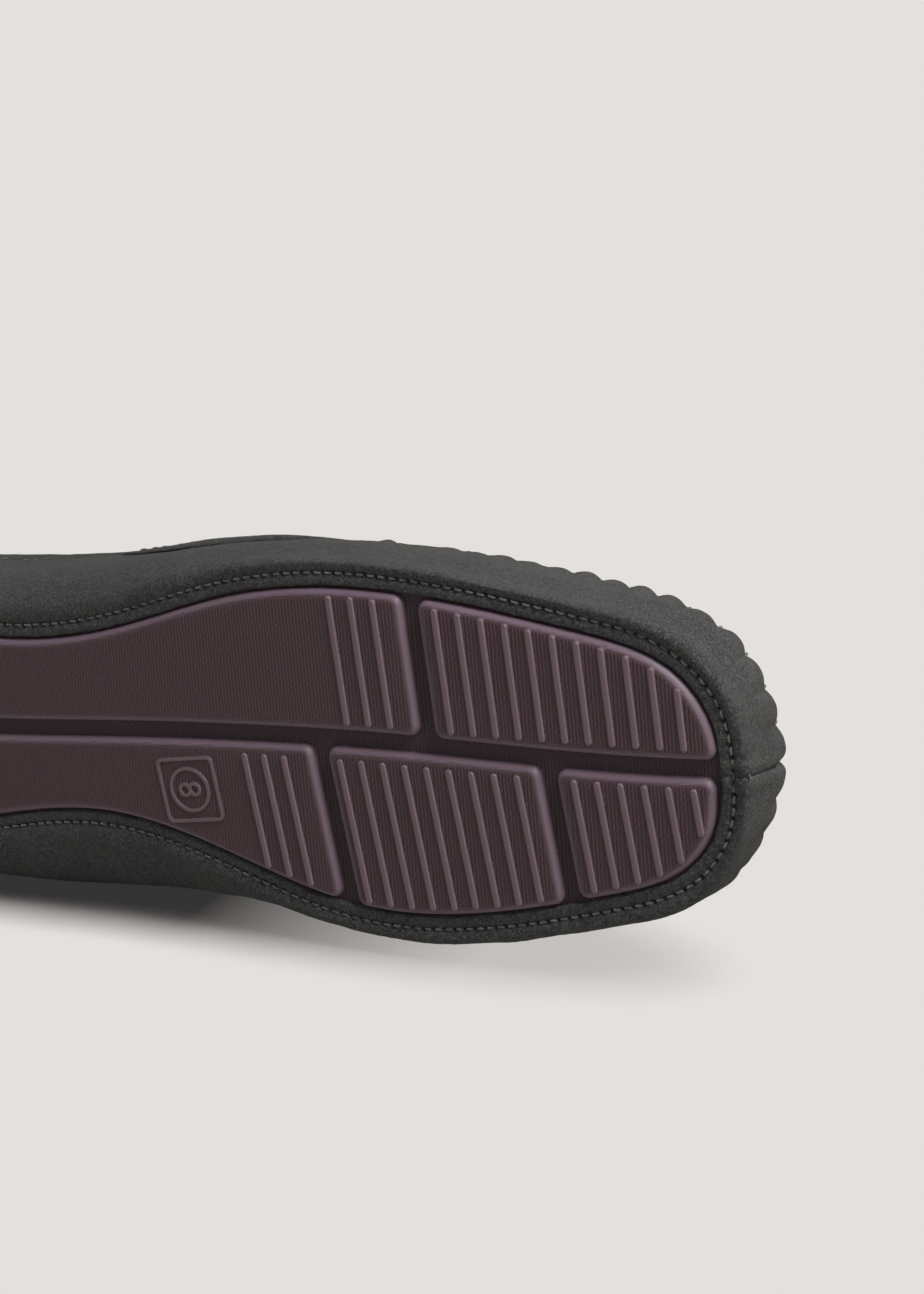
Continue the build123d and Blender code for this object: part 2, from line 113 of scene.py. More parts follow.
# The stitch row round the rubber, the rows on the trims, and the apron seam with its gathers
STITCH_OUT = 3.0
STITCH_PITCH = 2.7
STITCH_DROP = 0.34
TRIM_PITCH = 3.4
TRIM_LENGTH = 2.3
PUCKER_PITCH = 8.0
PUCKER_REAR = -30.0
PUCKER_HEIGHT = 1.6
PUCKER_CREST = 2.9
# The toe seam leans this far by this height
SEAM_DRIFT = 2.4
TOE_HEIGHT = 18.0
# The rubber's woven grain
WEAVE_PITCH = 0.85
WEAVE_LENGTH = 1.7
# The wall's grid: columns round it, and rows over the rim, its corner and the side
COLUMNS = 1400
RIM_ROWS = 15
CORNER_ROWS = 14
SIDE_ROWS = 36

# ---------------------------------------------------------------- outlines
gaps = np.linalg.norm(np.roll(WIDEST, -1, 0) - WIDEST, axis=1)
PERIMETER = gaps.sum()
KNOTS = np.concatenate([[0], np.cumsum(gaps) / PERIMETER])
HEEL_COLUMN = int(round(KNOTS[HEEL_STATION] * COLUMNS))
SHARES = np.concatenate([
    np.linspace(0, KNOTS[HEEL_STATION], HEEL_COLUMN, endpoint=False),
    np.linspace(KNOTS[HEEL_STATION], 1, COLUMNS - HEEL_COLUMN, endpoint=False),
])


def bell(distance, width):
    """A smooth bump: 1 at no distance, fading over width."""
    return np.exp(-(distance / width) ** 2)


def unit(vectors):
    return vectors / np.linalg.norm(vectors, axis=-1, keepdims=True)


def spline(values, at):
    """A smooth closed curve through the values at the stations, read at shares round it."""
    count = len(values)
    spans = np.diff(KNOTS)
    system = np.zeros((count, count))
    right = np.zeros(values.shape)
    for i in range(count):
        before, after = spans[i - 1], spans[i]
        system[i, i - 1] += before / 6
        system[i, i] += (before + after) / 3
        system[i, (i + 1) % count] += after / 6
        right[i] = (values[(i + 1) % count] - values[i]) / after
        right[i] -= (values[i] - values[i - 1]) / before
    bend = np.linalg.solve(system, right)
    at = np.mod(at, 1.0)
    k = np.clip(np.searchsorted(KNOTS, at, side="right") - 1, 0, count - 1)
    n = (k + 1) % count
    h = spans[k][:, None]
    b = (at - KNOTS[k])[:, None] / h
    a = 1 - b
    bowed = (a ** 3 - a) * bend[k] + (b ** 3 - b) * bend[n]
    return a * values[k] + b * values[n] + bowed * h ** 2 / 6


def moved_out(points, distance):
    """Move each station outwards, square to the outline."""
    d = unit(np.roll(points, -1, 0) - np.roll(points, 1, 0))
    side = np.stack([-d[:, 1], d[:, 0]], 1)
    return points + side * np.reshape(distance, (-1, 1))


def wall_stations(z, inset=0.0):
    """The stations of the upper at a height, for the layer that lies inset inside its face."""
    bottom = RIM_BOTTOM + inset
    rise = np.clip((z - bottom) / (WIDEST_Z - bottom), 0, 1)
    above = max(0.0, z - WIDEST_Z)
    lean = LEAN_RATE * above + LEAN_BEND * above ** 2
    flat = RIM_FLAT / np.linalg.norm(WIDEST - EDGE, axis=1)
    share = flat + (1 - flat) * math.sqrt(1 - (1 - rise) ** 2)
    points = EDGE + share[:, None] * (WIDEST - EDGE)
    depth = np.minimum(LEAN_LIMIT, lean * np.interp(points[:, 1], LEAN[:, 0], LEAN[:, 1]))
    return moved_out(points, -depth - inset)


def smooth_line(values, sigma, closed=False):
    """Values along a line (first axis), blurred by sigma steps."""
    reach = int(sigma * 3) + 1
    weights = bell(np.arange(-reach, reach + 1), sigma * math.sqrt(2))
    weights /= weights.sum()
    mode = "wrap" if closed else "edge"
    padded = np.pad(values, [(reach, reach)] + [(0, 0)] * (values.ndim - 1), mode=mode)
    total = np.zeros(values.shape)
    for i, w in enumerate(weights):
        total += w * padded[i:i + len(values)]
    return total


ROOF_Y = np.arange(-156.0, 1.0, 1.0)
ROOF_TERMS = smooth_line(
    np.stack([np.interp(ROOF_Y, ROOF[:, 0], ROOF[:, i]) for i in (1, 2, 3)], 1), 4.0)


def roof(x, y):
    """The height of the forefoot's top."""
    middle, drop, half = [np.interp(y, ROOF_Y, ROOF_TERMS[:, i]) for i in range(3)]
    return middle - drop * (x / half) ** 2


NEAR_TOE = bell(np.minimum(SHARES, 1 - SHARES) * PERIMETER, 30.0)


def wall_line(z):
    """The outline at a height, its columns drifting with the toe seam as it climbs."""
    climb = min(1.0, max(0.0, (z - RIM_BOTTOM) / TOE_HEIGHT))
    return spline(wall_stations(z), SHARES - SEAM_DRIFT / PERIMETER * NEAR_TOE * climb)


# The wall's outlines, stacked a millimetre apart
HEIGHTS = np.arange(WIDEST_Z, WALL_TOP, 1.0)
STACK = np.array([wall_line(z) for z in HEIGHTS])


def level_below(z):
    """The number of the stacked outline under a height, and the share of the way to the next."""
    k = np.clip(z - HEIGHTS[0], 0, len(HEIGHTS) - 1.001)
    low = np.floor(k).astype(int)
    return low, k - low


def read_stack(z):
    """The wall's outline points at a height for each column."""
    low, part = level_below(z)
    part = part[:, None]
    columns = np.arange(COLUMNS)
    return STACK[low, columns] * (1 - part) + STACK[low + 1, columns] * part


def column_tops():
    """The height of the upper's edge in each column: the apron ridge, then the topline."""
    over = HEIGHTS[:, None] - roof(STACK[..., 0], STACK[..., 1])
    first = np.clip(np.argmax(over > 0, axis=0), 1, len(HEIGHTS) - 1)
    columns = np.arange(COLUMNS)
    a, b = over[first - 1, columns], over[first, columns]
    ridge = HEIGHTS[first - 1] + np.clip(a / (a - b), 0, 1)
    # The wall's y is read near its top, and the ridge turns into the topline over change
    near_top, soft, change = 54.0, 14, 10.0
    y = read_stack(np.full(COLUMNS, near_top))[:, 1]
    line = smooth_line(np.interp(y, TOPLINE[:, 0], TOPLINE[:, 1]), soft, closed=True)
    share = np.clip((y - THROAT_Y) / change + 0.5, 0, 1)
    return ridge * (1 - share) + line * share


TOPS = column_tops()


def wall_grid():
    """The outer face of the upper, from its cut edge under the foot to its top edge."""
    rows = []
    reach = np.linalg.norm(WIDEST - EDGE, axis=1)[:, None]
    for d in np.linspace(0, RIM_FLAT, RIM_ROWS):
        flat = spline(EDGE + d / reach * (WIDEST - EDGE), SHARES)
        rows.append(np.column_stack([flat, np.full(COLUMNS, RIM_BOTTOM)]))
    for angle in np.linspace(0, math.pi / 2, CORNER_ROWS)[1:]:
        z = RIM_BOTTOM + (WIDEST_Z - RIM_BOTTOM) * (1 - math.cos(angle))
        rows.append(np.column_stack([wall_line(z), np.full(COLUMNS, z)]))
    for share in np.linspace(0, 1, SIDE_ROWS)[1:]:
        z = WIDEST_Z + share * (TOPS - WIDEST_Z)
        rows.append(np.column_stack([read_stack(z), z]))
    return np.array(rows)


def normals(grid, closed=False):
    """Unit normals of a grid of points, rows crossed with columns."""
    down = np.gradient(grid, axis=0)
    if closed:
        across = (np.roll(grid, -1, 1) - np.roll(grid, 1, 1)) / 2
    else:
        across = np.gradient(grid, axis=1)
    n = np.cross(down, across)
    return n / np.maximum(np.linalg.norm(n, axis=2, keepdims=True), 1e-9)


def facing(grid, axis, sign=1):
    """Unit normals of a grid, turned to point along an axis."""
    n = normals(grid)
    return n * sign * np.sign(n[..., axis:axis + 1])


def run_length(grid, axis):
    """Distance along one axis of a grid, from its start."""
    step = np.linalg.norm(np.diff(grid, axis=axis), axis=2)
    pad = [(0, 0), (0, 0)]
    pad[axis] = (1, 0)
    return np.cumsum(np.pad(step, pad), axis=axis)


def edge_gap(grid):
    """Distance of each point of a grid from the nearest of the grid's four edges."""
    runs = []
    for axis in (0, 1):
        runs.append(run_length(grid, axis))
        runs.append(np.flip(run_length(np.flip(grid, axis), axis), axis))
    return np.minimum.reduce(runs)


def rounded(gap, radius):
    """A quarter round at an edge: 0 on it, 1 from the radius on."""
    return np.sqrt(np.clip(1 - (1 - np.clip(gap / radius, 0, 1)) ** 2, 0, 1))


def rough(points, size, seed=0.0):
    """Smooth noise from -1 to 1 at points, with features of a size in millimetres."""
    flat = points.reshape(-1, 3) / size + seed
    values = [noise.noise(p) for p in flat.tolist()]
    return np.array(values).reshape(points.shape[:-1])


def fine_grain(points, seed, height=0.07):
    """The suede's finest relief."""
    return height * rough(points, 1.6, seed)


# ---------------------------------------------------------------- mesh helpers
def quads(index, closed=False):
    """The quads of a grid of vertex numbers."""
    if closed:
        index = np.concatenate([index, index[:, :1]], 1)
    corners = [index[:-1, :-1], index[1:, :-1], index[1:, 1:], index[:-1, 1:]]
    return np.stack([c.ravel() for c in corners], 1)


def shell_mesh(outer, inner, closed=False):
    """A closed mesh between two grids of points."""
    rows, columns = outer.shape[:2]
    points = np.concatenate([outer.reshape(-1, 3), inner.reshape(-1, 3)])
    first = np.arange(rows * columns).reshape(rows, columns)
    second = first + rows * columns
    faces = [quads(first, closed), quads(second, closed)[:, ::-1]]
    faces.append(quads(np.stack([second[0], first[0]]), closed))
    faces.append(quads(np.stack([first[-1], second[-1]]), closed))
    if not closed:
        faces.append(quads(np.stack([first[:, 0], second[:, 0]], 1)[:, ::-1]))
        faces.append(quads(np.stack([second[:, -1], first[:, -1]], 1)[:, ::-1]))
    return points, np.concatenate(faces)


def signed_volume(points, faces):
    a, b, c, d = [points[faces[:, i]] for i in range(4)]
    return float((np.cross(a, b) * c).sum() + (np.cross(a, c) * d).sum())


def new_object(name, data):
    """An object in the scene."""
    thing = bpy.data.objects.new(name, data)
    bpy.context.scene.collection.objects.link(thing)
    return thing


def add_piece(name, shape, material, node=None, extra=None):
    """A smooth-shaded piece that rides on the slipper and stands for a CAD node, if it has one.
    """
    points, faces = shape
    if signed_volume(points, faces) < 0:
        faces = faces[:, ::-1]
    if extra is not None:
        faces = np.concatenate([faces, extra[1] + len(points)])
        points = np.concatenate([points, extra[0]])
    polygons = [list(dict.fromkeys(face)) for face in faces.tolist()]
    mesh = bpy.data.meshes.new(name)
    mesh.from_pydata((points * MM).tolist(), [], polygons)
    mesh.polygons.foreach_set("use_smooth", [True] * len(mesh.polygons))
    mesh.update()
    mesh.validate()
    mesh.materials.append(material)
    piece = new_object(name, mesh)
    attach(piece, "root")
    material.name.split("_")[0]
    if node:
        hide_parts(node)
    return piece


def tubes(paths, ups, radius, sides=7):
    """Round threads along paths (count, points, 3), with rounded ends."""
    count, steps = paths.shape[:2]
    ahead = unit(np.gradient(paths, axis=1))
    across = unit(np.cross(ahead, ups[:, None]))
    over = np.cross(across, ahead)
    share = np.linspace(-1, 1, steps)
    thick = radius * np.sqrt(np.clip(1.05 - np.abs(share) ** 6, 0, 1))[None, :, None, None]
    turn = np.arange(sides) / sides * 2 * math.pi
    ring = across[:, :, None] * np.cos(turn)[:, None] + over[:, :, None] * np.sin(turn)[:, None]
    points = (paths[:, :, None] + ring * thick).reshape(-1, 3)
    index = np.arange(count * steps * sides).reshape(count, steps, sides)
    faces = [quads(one, closed=True) for one in index]
    for one in index:
        for end in (one[0], one[-1][::-1]):
            centre = [[end[0], end[i], end[i + 1], end[i + 1]] for i in range(1, sides - 1)]
            faces.append(np.array(centre))
    return points, np.concatenate(faces)


def tufts(roots, outs, length, radius):
    """Soft pile: short three-sided locks that lean and curl, each closed at its root."""
    count = len(roots)
    lean = rng.normal(0, 0.5, (count, 3))
    lean -= outs * (lean * outs).sum(1, keepdims=True)
    lean /= np.maximum(1.0, np.linalg.norm(lean, axis=1, keepdims=True) / 0.8)
    size = length * rng.uniform(0.7, 1.2, count)[:, None]
    middle = roots + (outs + lean * 0.5) * size * 0.5
    tip = roots + (outs * 0.8 + lean) * size
    side = unit(np.cross(outs, rng.normal(0, 1, (count, 3))))
    other = np.cross(outs, side)
    rings = []
    for centre, scale in ((roots - outs * 0.3, 1.0), (middle, 0.85)):
        for corner in range(3):
            turn = corner * 2 * math.pi / 3
            arm = side * math.cos(turn) + other * math.sin(turn)
            rings.append(centre + arm * radius * scale)
    points = np.stack(rings + [tip], 1).reshape(-1, 3)
    start = np.arange(count)[:, None] * 7
    pattern = []
    for a, b in ((0, 1), (1, 2), (2, 0)):
        pattern.append((a, b, b + 3, a + 3))
        pattern.append((a + 3, b + 3, 6, 6))
    pattern.append((2, 1, 0, 0))
    faces = (start[:, :, None] + np.array(pattern)[None]).reshape(-1, 4)
    return points, faces


# ---------------------------------------------------------------- materials
class Nodes:
    """A short way to write a node tree."""

    def __init__(self, tree):
        self.tree = tree

    def add(self, kind, **values):
        """A node with its properties and inputs set by name, underscores standing for spaces."""
        node = self.tree.nodes.new(kind)
        for key, value in values.items():
            name = key.replace("_", " ")
            if hasattr(node, key) and name not in node.inputs:
                setattr(node, key, value)
            else:
                self.set(node.inputs[name], value)
        return node

    def set(self, socket, value):
        if isinstance(value, bpy.types.NodeSocket):
            self.tree.links.new(value, socket)
        else:
            socket.default_value = value

    def math(self, operation, a, b=0.0, c=0.0):
        node = self.add("ShaderNodeMath", operation=operation)
        for socket, value in zip(node.inputs, (a, b, c)):
            self.set(socket, value)
        return node.outputs[0]

    def ramp(self, value, low, high, a=0.0, b=1.0):
        """A value from low to high, stretched to run from a to b."""
        node = self.add("ShaderNodeMapRange", Value=value)
        for name, v in (("From Min", low), ("From Max", high), ("To Min", a), ("To Max", b)):
            node.inputs[name].default_value = v
        return node.outputs["Result"]

    def mix(self, share, a, b):
        """Two colours mixed: a where the share is 0, b where it's 1."""
        node = self.add("ShaderNodeMix", data_type="RGBA")
        self.set(node.inputs[0], share)
        for socket, value in ((node.inputs[6], a), (node.inputs[7], b)):
            self.set(socket, (*value, 1.0) if isinstance(value, tuple) else value)
        return node.outputs[2]

    def lay(self, body, mask, strength, colour):
        """A colour laid over the body's, as far as a mask and a strength let it."""
        return self.mix(self.math("MULTIPLY", mask, strength), body, colour)

    def blend(self, share, a, b):
        """Two shaders mixed: a where the share is 0, b where it's 1."""
        node = self.add("ShaderNodeMixShader", Fac=share)
        self.set(node.inputs[1], a.outputs[0])
        self.set(node.inputs[2], b.outputs[0])
        return node.outputs[0]

    def split(self, vector):
        """The x, y and z of a vector."""
        return list(self.add("ShaderNodeSeparateXYZ", Vector=vector).outputs)


class Surface(Nodes):
    """The node tree of a new material, its patterns placed by the object's own coordinates."""

    def __init__(self, name):
        self.material = bpy.data.materials.new(name)
        self.material.use_nodes = True
        super().__init__(self.material.node_tree)
        self.tree.nodes.clear()
        self.output = self.add("ShaderNodeOutputMaterial")
        self.place = self.add("ShaderNodeTexCoord").outputs["Object"]

    def noise(self, size, detail=3.0, rough=0.55, distort=0.0):
        """Noise from 0 to 1 with features of a size in millimetres."""
        return self.add("ShaderNodeTexNoise", Vector=self.place, Scale=1 / (size * MM),
                        Detail=detail, Roughness=rough, Distortion=distort).outputs["Fac"]

    def bump(self, height, distance, strength=1.0, normal=None):
        """A height as a normal, over another normal if there is one. Distance in millimetres."""
        node = self.add("ShaderNodeBump", Height=height, Distance=distance * MM,
                        Strength=strength)
        if normal is not None:
            self.set(node.inputs["Normal"], normal)
        return node.outputs["Normal"]

    def surface(self, colour, roughness, normal, **more):
        """The material, with its surface worked out."""
        node = self.add("ShaderNodeBsdfPrincipled", Base_Color=colour, Roughness=roughness,
                        Normal=normal, **more)
        self.set(self.output.inputs["Surface"], node.outputs[0])
        return self.material


def scaled(colour, k):
    """A colour times a number, or times a number for each channel."""
    return tuple(np.multiply(colour, k).tolist())


def suede_material(name, colour, nap=1.0):
    """Napped suede: brushed patches, a fine fibre grain, lighter worn edges, and painted shade in
    its hollows and needle holes.
    """
    n = Surface(name)
    patch_size, grain_size, fibre_size, nap_size, dent_size = 16, 1.5, 0.65, 0.3, 3.4
    patches = n.ramp(n.noise(patch_size, 4, 0.65, 0.8), 0.36, 0.66)
    brushed = n.mix(patches, scaled(colour, 0.78), scaled(colour, 1.22))
    grain = n.ramp(n.noise(grain_size, 4, 0.8), 0.4, 0.6)
    body = n.lay(brushed, grain, 0.9, scaled(colour, 0.4))
    fibre = n.ramp(n.noise(fibre_size, 3, 0.85), 0.48, 0.64)
    body = n.lay(body, fibre, 0.7, scaled(colour, 3.0))
    bend = n.add("ShaderNodeNewGeometry").outputs["Pointiness"]
    body = n.mix(n.ramp(bend, 0.52, 0.62, 0.0, 0.45), body, scaled(colour, 1.7))
    # Painted shade: hollows, where the pointiness is low, are darkened
    body = n.mix(n.ramp(bend, 0.42, 0.485, 0.6, 0.0), body, scaled(colour, 0.45))
    # Painted shade in the needle holes, read from the pieces' shade attribute
    shade = n.add("ShaderNodeAttribute", attribute_name="shade").outputs["Fac"]
    body = n.mix(shade, body, scaled(colour, 0.15))
    height = n.math("MULTIPLY_ADD", grain, 0.5, n.noise(nap_size, 3, 0.7))
    height = n.math("MULTIPLY_ADD", fibre, 0.5, height)
    normal = n.bump(height, 0.42 * nap, 0.95)
    normal = n.bump(n.noise(dent_size, 3, 0.5), 0.3, 0.5, normal)
    return n.surface(body, 0.96, normal, Sheen_Weight=0.12, Sheen_Roughness=0.5,
                     Sheen_Tint=(0.72, 0.71, 0.68, 1), Specular_IOR_Level=0.08)


def rubber_material(name, colour):
    """Moulded rubber: a fine woven grain on the flats, painted highlights on the ribs and pad
    edges, and painted shade in the channels.
    """
    n = Surface(name)
    x, y, z = n.split(n.place)
    down = n.split(n.add("ShaderNodeNewGeometry").outputs["True Normal"])[2]
    # 1 on the rib tops, which stand between the ground and the pads' faces
    raised = n.ramp(z, 0.30 * MM, 0.44 * MM, 1.0, 0.0)
    flat = n.ramp(n.math("ABSOLUTE", down), 0.985, 0.998)
    flat = n.math("MULTIPLY", flat, n.math("SUBTRACT", 1.0, raised))
    stray = n.ramp(n.noise(2.6, 3, 0.6), 0.0, 1.0, -1.5, 1.5)
    rows = n.math("MULTIPLY_ADD", y, 2 * math.pi / (WEAVE_PITCH * MM), stray)
    weft = n.math("MULTIPLY", x, 2 * math.pi / (WEAVE_LENGTH * MM))
    weft = n.math("SINE", n.math("ADD", weft, n.math("MULTIPLY", rows, 0.5)))
    weave = n.math("MULTIPLY", n.math("SINE", rows), n.math("MULTIPLY_ADD", weft, 0.45, 0.55))
    twill = n.math("MULTIPLY", weave, flat)
    scuff = n.ramp(n.noise(9, 5, 0.65, 0.4), 0.42, 0.72)
    body = n.lay(colour, scuff, 0.5, scaled(colour, 1.28))
    body = n.mix(n.ramp(twill, -1.0, 1.0, 0.0, 0.85), body, scaled(colour, 0.4))
    # Painted highlight: the rib tops are made paler
    body = n.lay(body, raised, 0.75, scaled(colour, (2.3, 2.95, 2.8)))
    # Painted highlight: the rounded pad edges are made paler
    edge = n.math("MULTIPLY", n.ramp(down, -0.998, -0.8), n.ramp(down, -0.3, 0.1, 1.0, 0.0))
    body = n.lay(body, edge, 0.85, scaled(colour, (2.3, 3.3, 3.6)))
    # Painted shade: the channels darken towards their floors
    channel_shade = n.ramp(z, 1.2 * MM, 2.6 * MM, 0.0, 0.42)
    body = n.mix(channel_shade, body, scaled(colour, 0.08))
    dust = n.ramp(n.noise(0.5, 4, 0.7), 0.62, 0.8)
    body = n.lay(body, dust, 0.18, (0.32, 0.29, 0.29))
    worn = n.add("ShaderNodeBevel", samples=4, Radius=0.7 * MM).outputs[0]
    normal = n.bump(twill, 0.18, 0.8, worn)
    normal = n.bump(n.noise(0.6, 4, 0.6), 0.03, 0.7, normal)
    roughness = n.math("ADD", 0.5, n.math("MULTIPLY", flat, 0.2))
    roughness = n.math("ADD", roughness, n.math("MULTIPLY", scuff, 0.06))
    return n.surface(body, roughness, normal, Specular_IOR_Level=0.34)


def thread_material(name, colour):
    """Spun thread with fine twisted plies."""
    n = Surface(name)
    # Bands about 2.2 mm apart before they are distorted
    plies = n.add("ShaderNodeTexWave", Vector=n.place, Scale=288.6, Distortion=2.0,
                  bands_direction="DIAGONAL").outputs["Fac"]
    fuzz = n.noise(0.2, 4, 0.7)
    body = n.mix(plies, scaled(colour, 0.6), scaled(colour, 1.25))
    body = n.mix(n.ramp(fuzz, 0.5, 0.8, 0.0, 0.5), body, scaled(colour, 1.8))
    normal = n.bump(n.math("ADD", plies, fuzz), 0.08, 0.8)
    return n.surface(body, 0.8, normal, Sheen_Weight=0.3, Specular_IOR_Level=0.25)


def plush_material(name, colour):
    """Soft pile: shaded between its locks and pale along its strands."""
    n = Surface(name)
    locks = n.ramp(n.noise(2.4, 4, 0.65, 0.8), 0.35, 0.65)
    body = n.mix(locks, scaled(colour, 0.62), scaled(colour, 1.25))
    strands = n.ramp(n.noise(0.35, 3, 0.7), 0.4, 0.75)
    body = n.lay(body, strands, 0.5, scaled(colour, 1.7))
    normal = n.bump(n.math("ADD", locks, strands), 0.35, 0.7)
    return n.surface(body, 0.95, normal, Sheen_Weight=0.6, Sheen_Roughness=0.4,
                     Specular_IOR_Level=0.1)


def foam_material(name, colour, cell):
    """Open foam or pressed board: pores with painted shade in them, and a faint mottle."""
    n = Surface(name)
    pores = n.add("ShaderNodeTexVoronoi", Vector=n.place, Scale=1 / (cell * MM)).outputs["Distance"]
    # Painted shade: the pores darken towards their middles
    body = n.mix(n.ramp(pores, 0.1, 0.6), scaled(colour, 0.7), colour)
    body = n.mix(n.ramp(n.noise(12), 0.4, 0.7, 0.0, 0.4), body, scaled(colour, 0.85))
    return n.surface(body, 0.9, n.bump(pores, 0.2 * cell, 0.7), Specular_IOR_Level=0.2)


SUEDE_COLOUR = (0.0280, 0.0284, 0.0270)
suede = suede_material("suede_nap", SUEDE_COLOUR)
suede_soft = suede_material("suede_trim", scaled(SUEDE_COLOUR, 0.92), 0.8)
rubber = rubber_material("rubber_moulded", (0.0450, 0.0212, 0.0253))
thread = thread_material("thread_spun", (0.044, 0.044, 0.040))
plush = plush_material("plush_pile", (0.15, 0.148, 0.146))
foam = foam_material("foam_cells", (0.55, 0.53, 0.5), 0.9)
board = foam_material("fibre_board", (0.45, 0.36, 0.26), 0.5)
stiffener = foam_material("counter_sheet", (0.5, 0.48, 0.44), 0.6)

for node, material in (("outsole", rubber), ("insole_board", board),
                       ("heel_counter", stiffener)):
    cad_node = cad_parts[node]
    if not cad_node.material_slots:
        cad_node.data.materials.append(material)
    for one_slot in cad_node.material_slots:
        one_slot.material = material

# ---------------------------------------------------------------- suede wraps
base = wall_grid()
out = normals(base, closed=True)
from_edge = run_length(base, 0)
from_top = from_edge[-1] - from_edge
round_run = run_length(np.concatenate([base, base[:, :1]], 1), 1)
girth = round_run[:, -1:]
round_run = round_run[:, :-1]
from_toe = np.minimum(round_run, girth - round_run)
from_heel = np.abs(round_run - round_run[:, HEEL_COLUMN:HEEL_COLUMN + 1])
ridge = base[-1]
ridge_s = from_toe[-1]
top_y = ridge[:, 1]


def line_length(line):
    """Distance along a line of points, from its start."""
    return run_length(line[:, None], 0)[:, 0]


stitch_line = spline(moved_out(EDGE, STITCH_OUT), SHARES)
stitch_line = np.concatenate([stitch_line, stitch_line[:1]])
stitch_s = line_length(stitch_line)
STITCHES = int(round(stitch_s[-1] / STITCH_PITCH))
stitch_phase = stitch_s[:-1] / stitch_s[-1] * STITCHES
from_hole = (stitch_phase % 1 - 0.5) * STITCH_PITCH


def lobes(s):
    """Rounded gathers between stitches along the apron seam, each a little different."""
    k = np.floor(s / PUCKER_PITCH).astype(int)
    golden_angle = 2.399
    size = 1 + 0.16 * np.sin(k * golden_angle + 0.7)
    return size * np.abs(np.sin(math.pi * s / PUCKER_PITCH)) ** 0.75


def pucker_strength(y):
    """Full round the toe, weaker along the sides, gone behind the rear end of the gathers."""
    return np.clip((PUCKER_REAR - y) / 3.0, 0, 1) * np.interp(y, [-105, -60], [1.0, 0.5])


def gather_relief():
    """The gathers below the apron seam, the pinch of the seam and the lump where they end."""
    strength = pucker_strength(top_y)
    crest = from_top / PUCKER_CREST * np.exp(1 - from_top / PUCKER_CREST)
    end_lump = bell(top_y - PUCKER_REAR + 4.0, 4.2)
    relief = (PUCKER_HEIGHT * lobes(ridge_s) * strength + end_lump) * crest
    return relief - 0.7 * strength * bell(from_top, 0.9)


def rim_relief():
    """The trough and needle holes of the stitch row round the rubber, and the swells beside it."""
    hole = bell(from_hole, 0.6)
    trough = bell(from_edge - STITCH_OUT, 0.8)
    dimples = bell(from_edge - STITCH_OUT, 0.55) * hole
    swells = (0.16 * bell(from_edge - 1.2, 0.9) + 0.12 * bell(from_edge - 4.6, 0.9)) * (1 - hole)
    shoulder = bell(from_edge - 6.6, 2.4)
    return swells + 0.45 * shoulder - 0.4 * trough - 0.75 * dimples


def seam_relief():
    """The seams where the wraps meet: a crease between two lips at the toe, one at the heel."""
    inside = np.minimum(from_edge, 1.0)
    toe = 0.55 * bell(from_toe - 1.8, 1.6) - 0.4 * bell(from_toe, 0.6)
    bunch = 0.6 * bell(from_toe, 2.4) * bell(from_edge - 1.6, 1.6)
    return inside * (toe - 0.7 * bell(from_heel, 0.7)) + bunch


def hide_relief():
    """The suede's own unevenness, calmer at its cut edge and at the apron seam."""
    calm = np.clip(from_edge / 6, 0.12, 1) * np.clip(from_top / 3, 0.3, 1)
    return calm * (0.55 * rough(base, 26) + 0.28 * rough(base, 9, 3.1)) + fine_grain(base, 7.7)


relief = gather_relief() + rim_relief() + seam_relief() + hide_relief()
# Where painted shade darkens the needle holes
needle_hole_shade = bell(from_edge - STITCH_OUT, 0.5) * bell(from_hole, 0.55)
outer_face = base + out * relief[..., None]
# The cut edge wanders a little and its corner is worn round
inward = unit(base[1] - base[0])
wander = 0.3 * rough(base[0], 5.0, 2.2) + 0.16 * rough(base[0], 1.1, 5.0)
for row, share in enumerate((1.0, 0.8, 0.5, 0.2)):
    outer_face[row] += inward * (wander * share)[:, None]
inner_face = base - out * SUEDE
inner_face[0] = outer_face[0] - out[0] * SUEDE
outer_face[0] -= out[0] * 0.35 - inward * 0.12


def wrap_piece(name, columns, node):
    """One wrap, with painted shade marked in its needle holes for the suede to darken."""
    outer = outer_face[:, columns]
    shape = shell_mesh(outer, inner_face[:, columns])
    piece = add_piece(name, shape, suede, node)
    dark = np.zeros(len(shape[0]), np.float32)
    dark[:outer[..., 0].size] = needle_hole_shade[:, columns].ravel()
    piece.data.attributes.new("shade", "FLOAT", "POINT").data.foreach_set("value", dark)
    piece.data.set_sharp_from_angle(angle=math.radians(70))


wrap_piece("suede_wrap_lateral", np.arange(0, HEEL_COLUMN + 1), "wrap_lateral")
wrap_piece("suede_wrap_medial", np.r_[HEEL_COLUMN:COLUMNS, 0], "wrap_medial")

# ---------------------------------------------------------------- apron
front = top_y < THROAT_Y
lateral = np.where(front & (np.arange(COLUMNS) < HEEL_COLUMN))[0]
medial = np.r_[0, np.where(front & (np.arange(COLUMNS) > HEEL_COLUMN))[0][::-1]]
APRON_ROWS = 200
APRON_COLUMNS = 96


def ladder(left, right, rows, columns, y_end, both_ends=False, z=None):
    """A grid from a shape's toe tip to y_end, dense at its edges: at a height z, or on the roof."""
    tip = left[0, 1]
    turn = np.linspace(0, math.pi if both_ends else math.pi / 2, rows)
    share = (1 - np.cos(turn)) / (2 if both_ends else 1)
    y = tip + (y_end - tip) * share
    x0 = np.interp(y, left[:, 1], left[:, 0])
    x1 = np.interp(y, right[:, 1], right[:, 0])
    across = np.sin(np.linspace(-math.pi / 2, math.pi / 2, columns))
    x = (x0 + x1)[:, None] / 2 + (x1 - x0)[:, None] / 2 * across
    ys = np.repeat(y[:, None], columns, 1)
    return np.stack([x, ys, roof(x, ys) if z is None else np.full(x.shape, z)], 2)


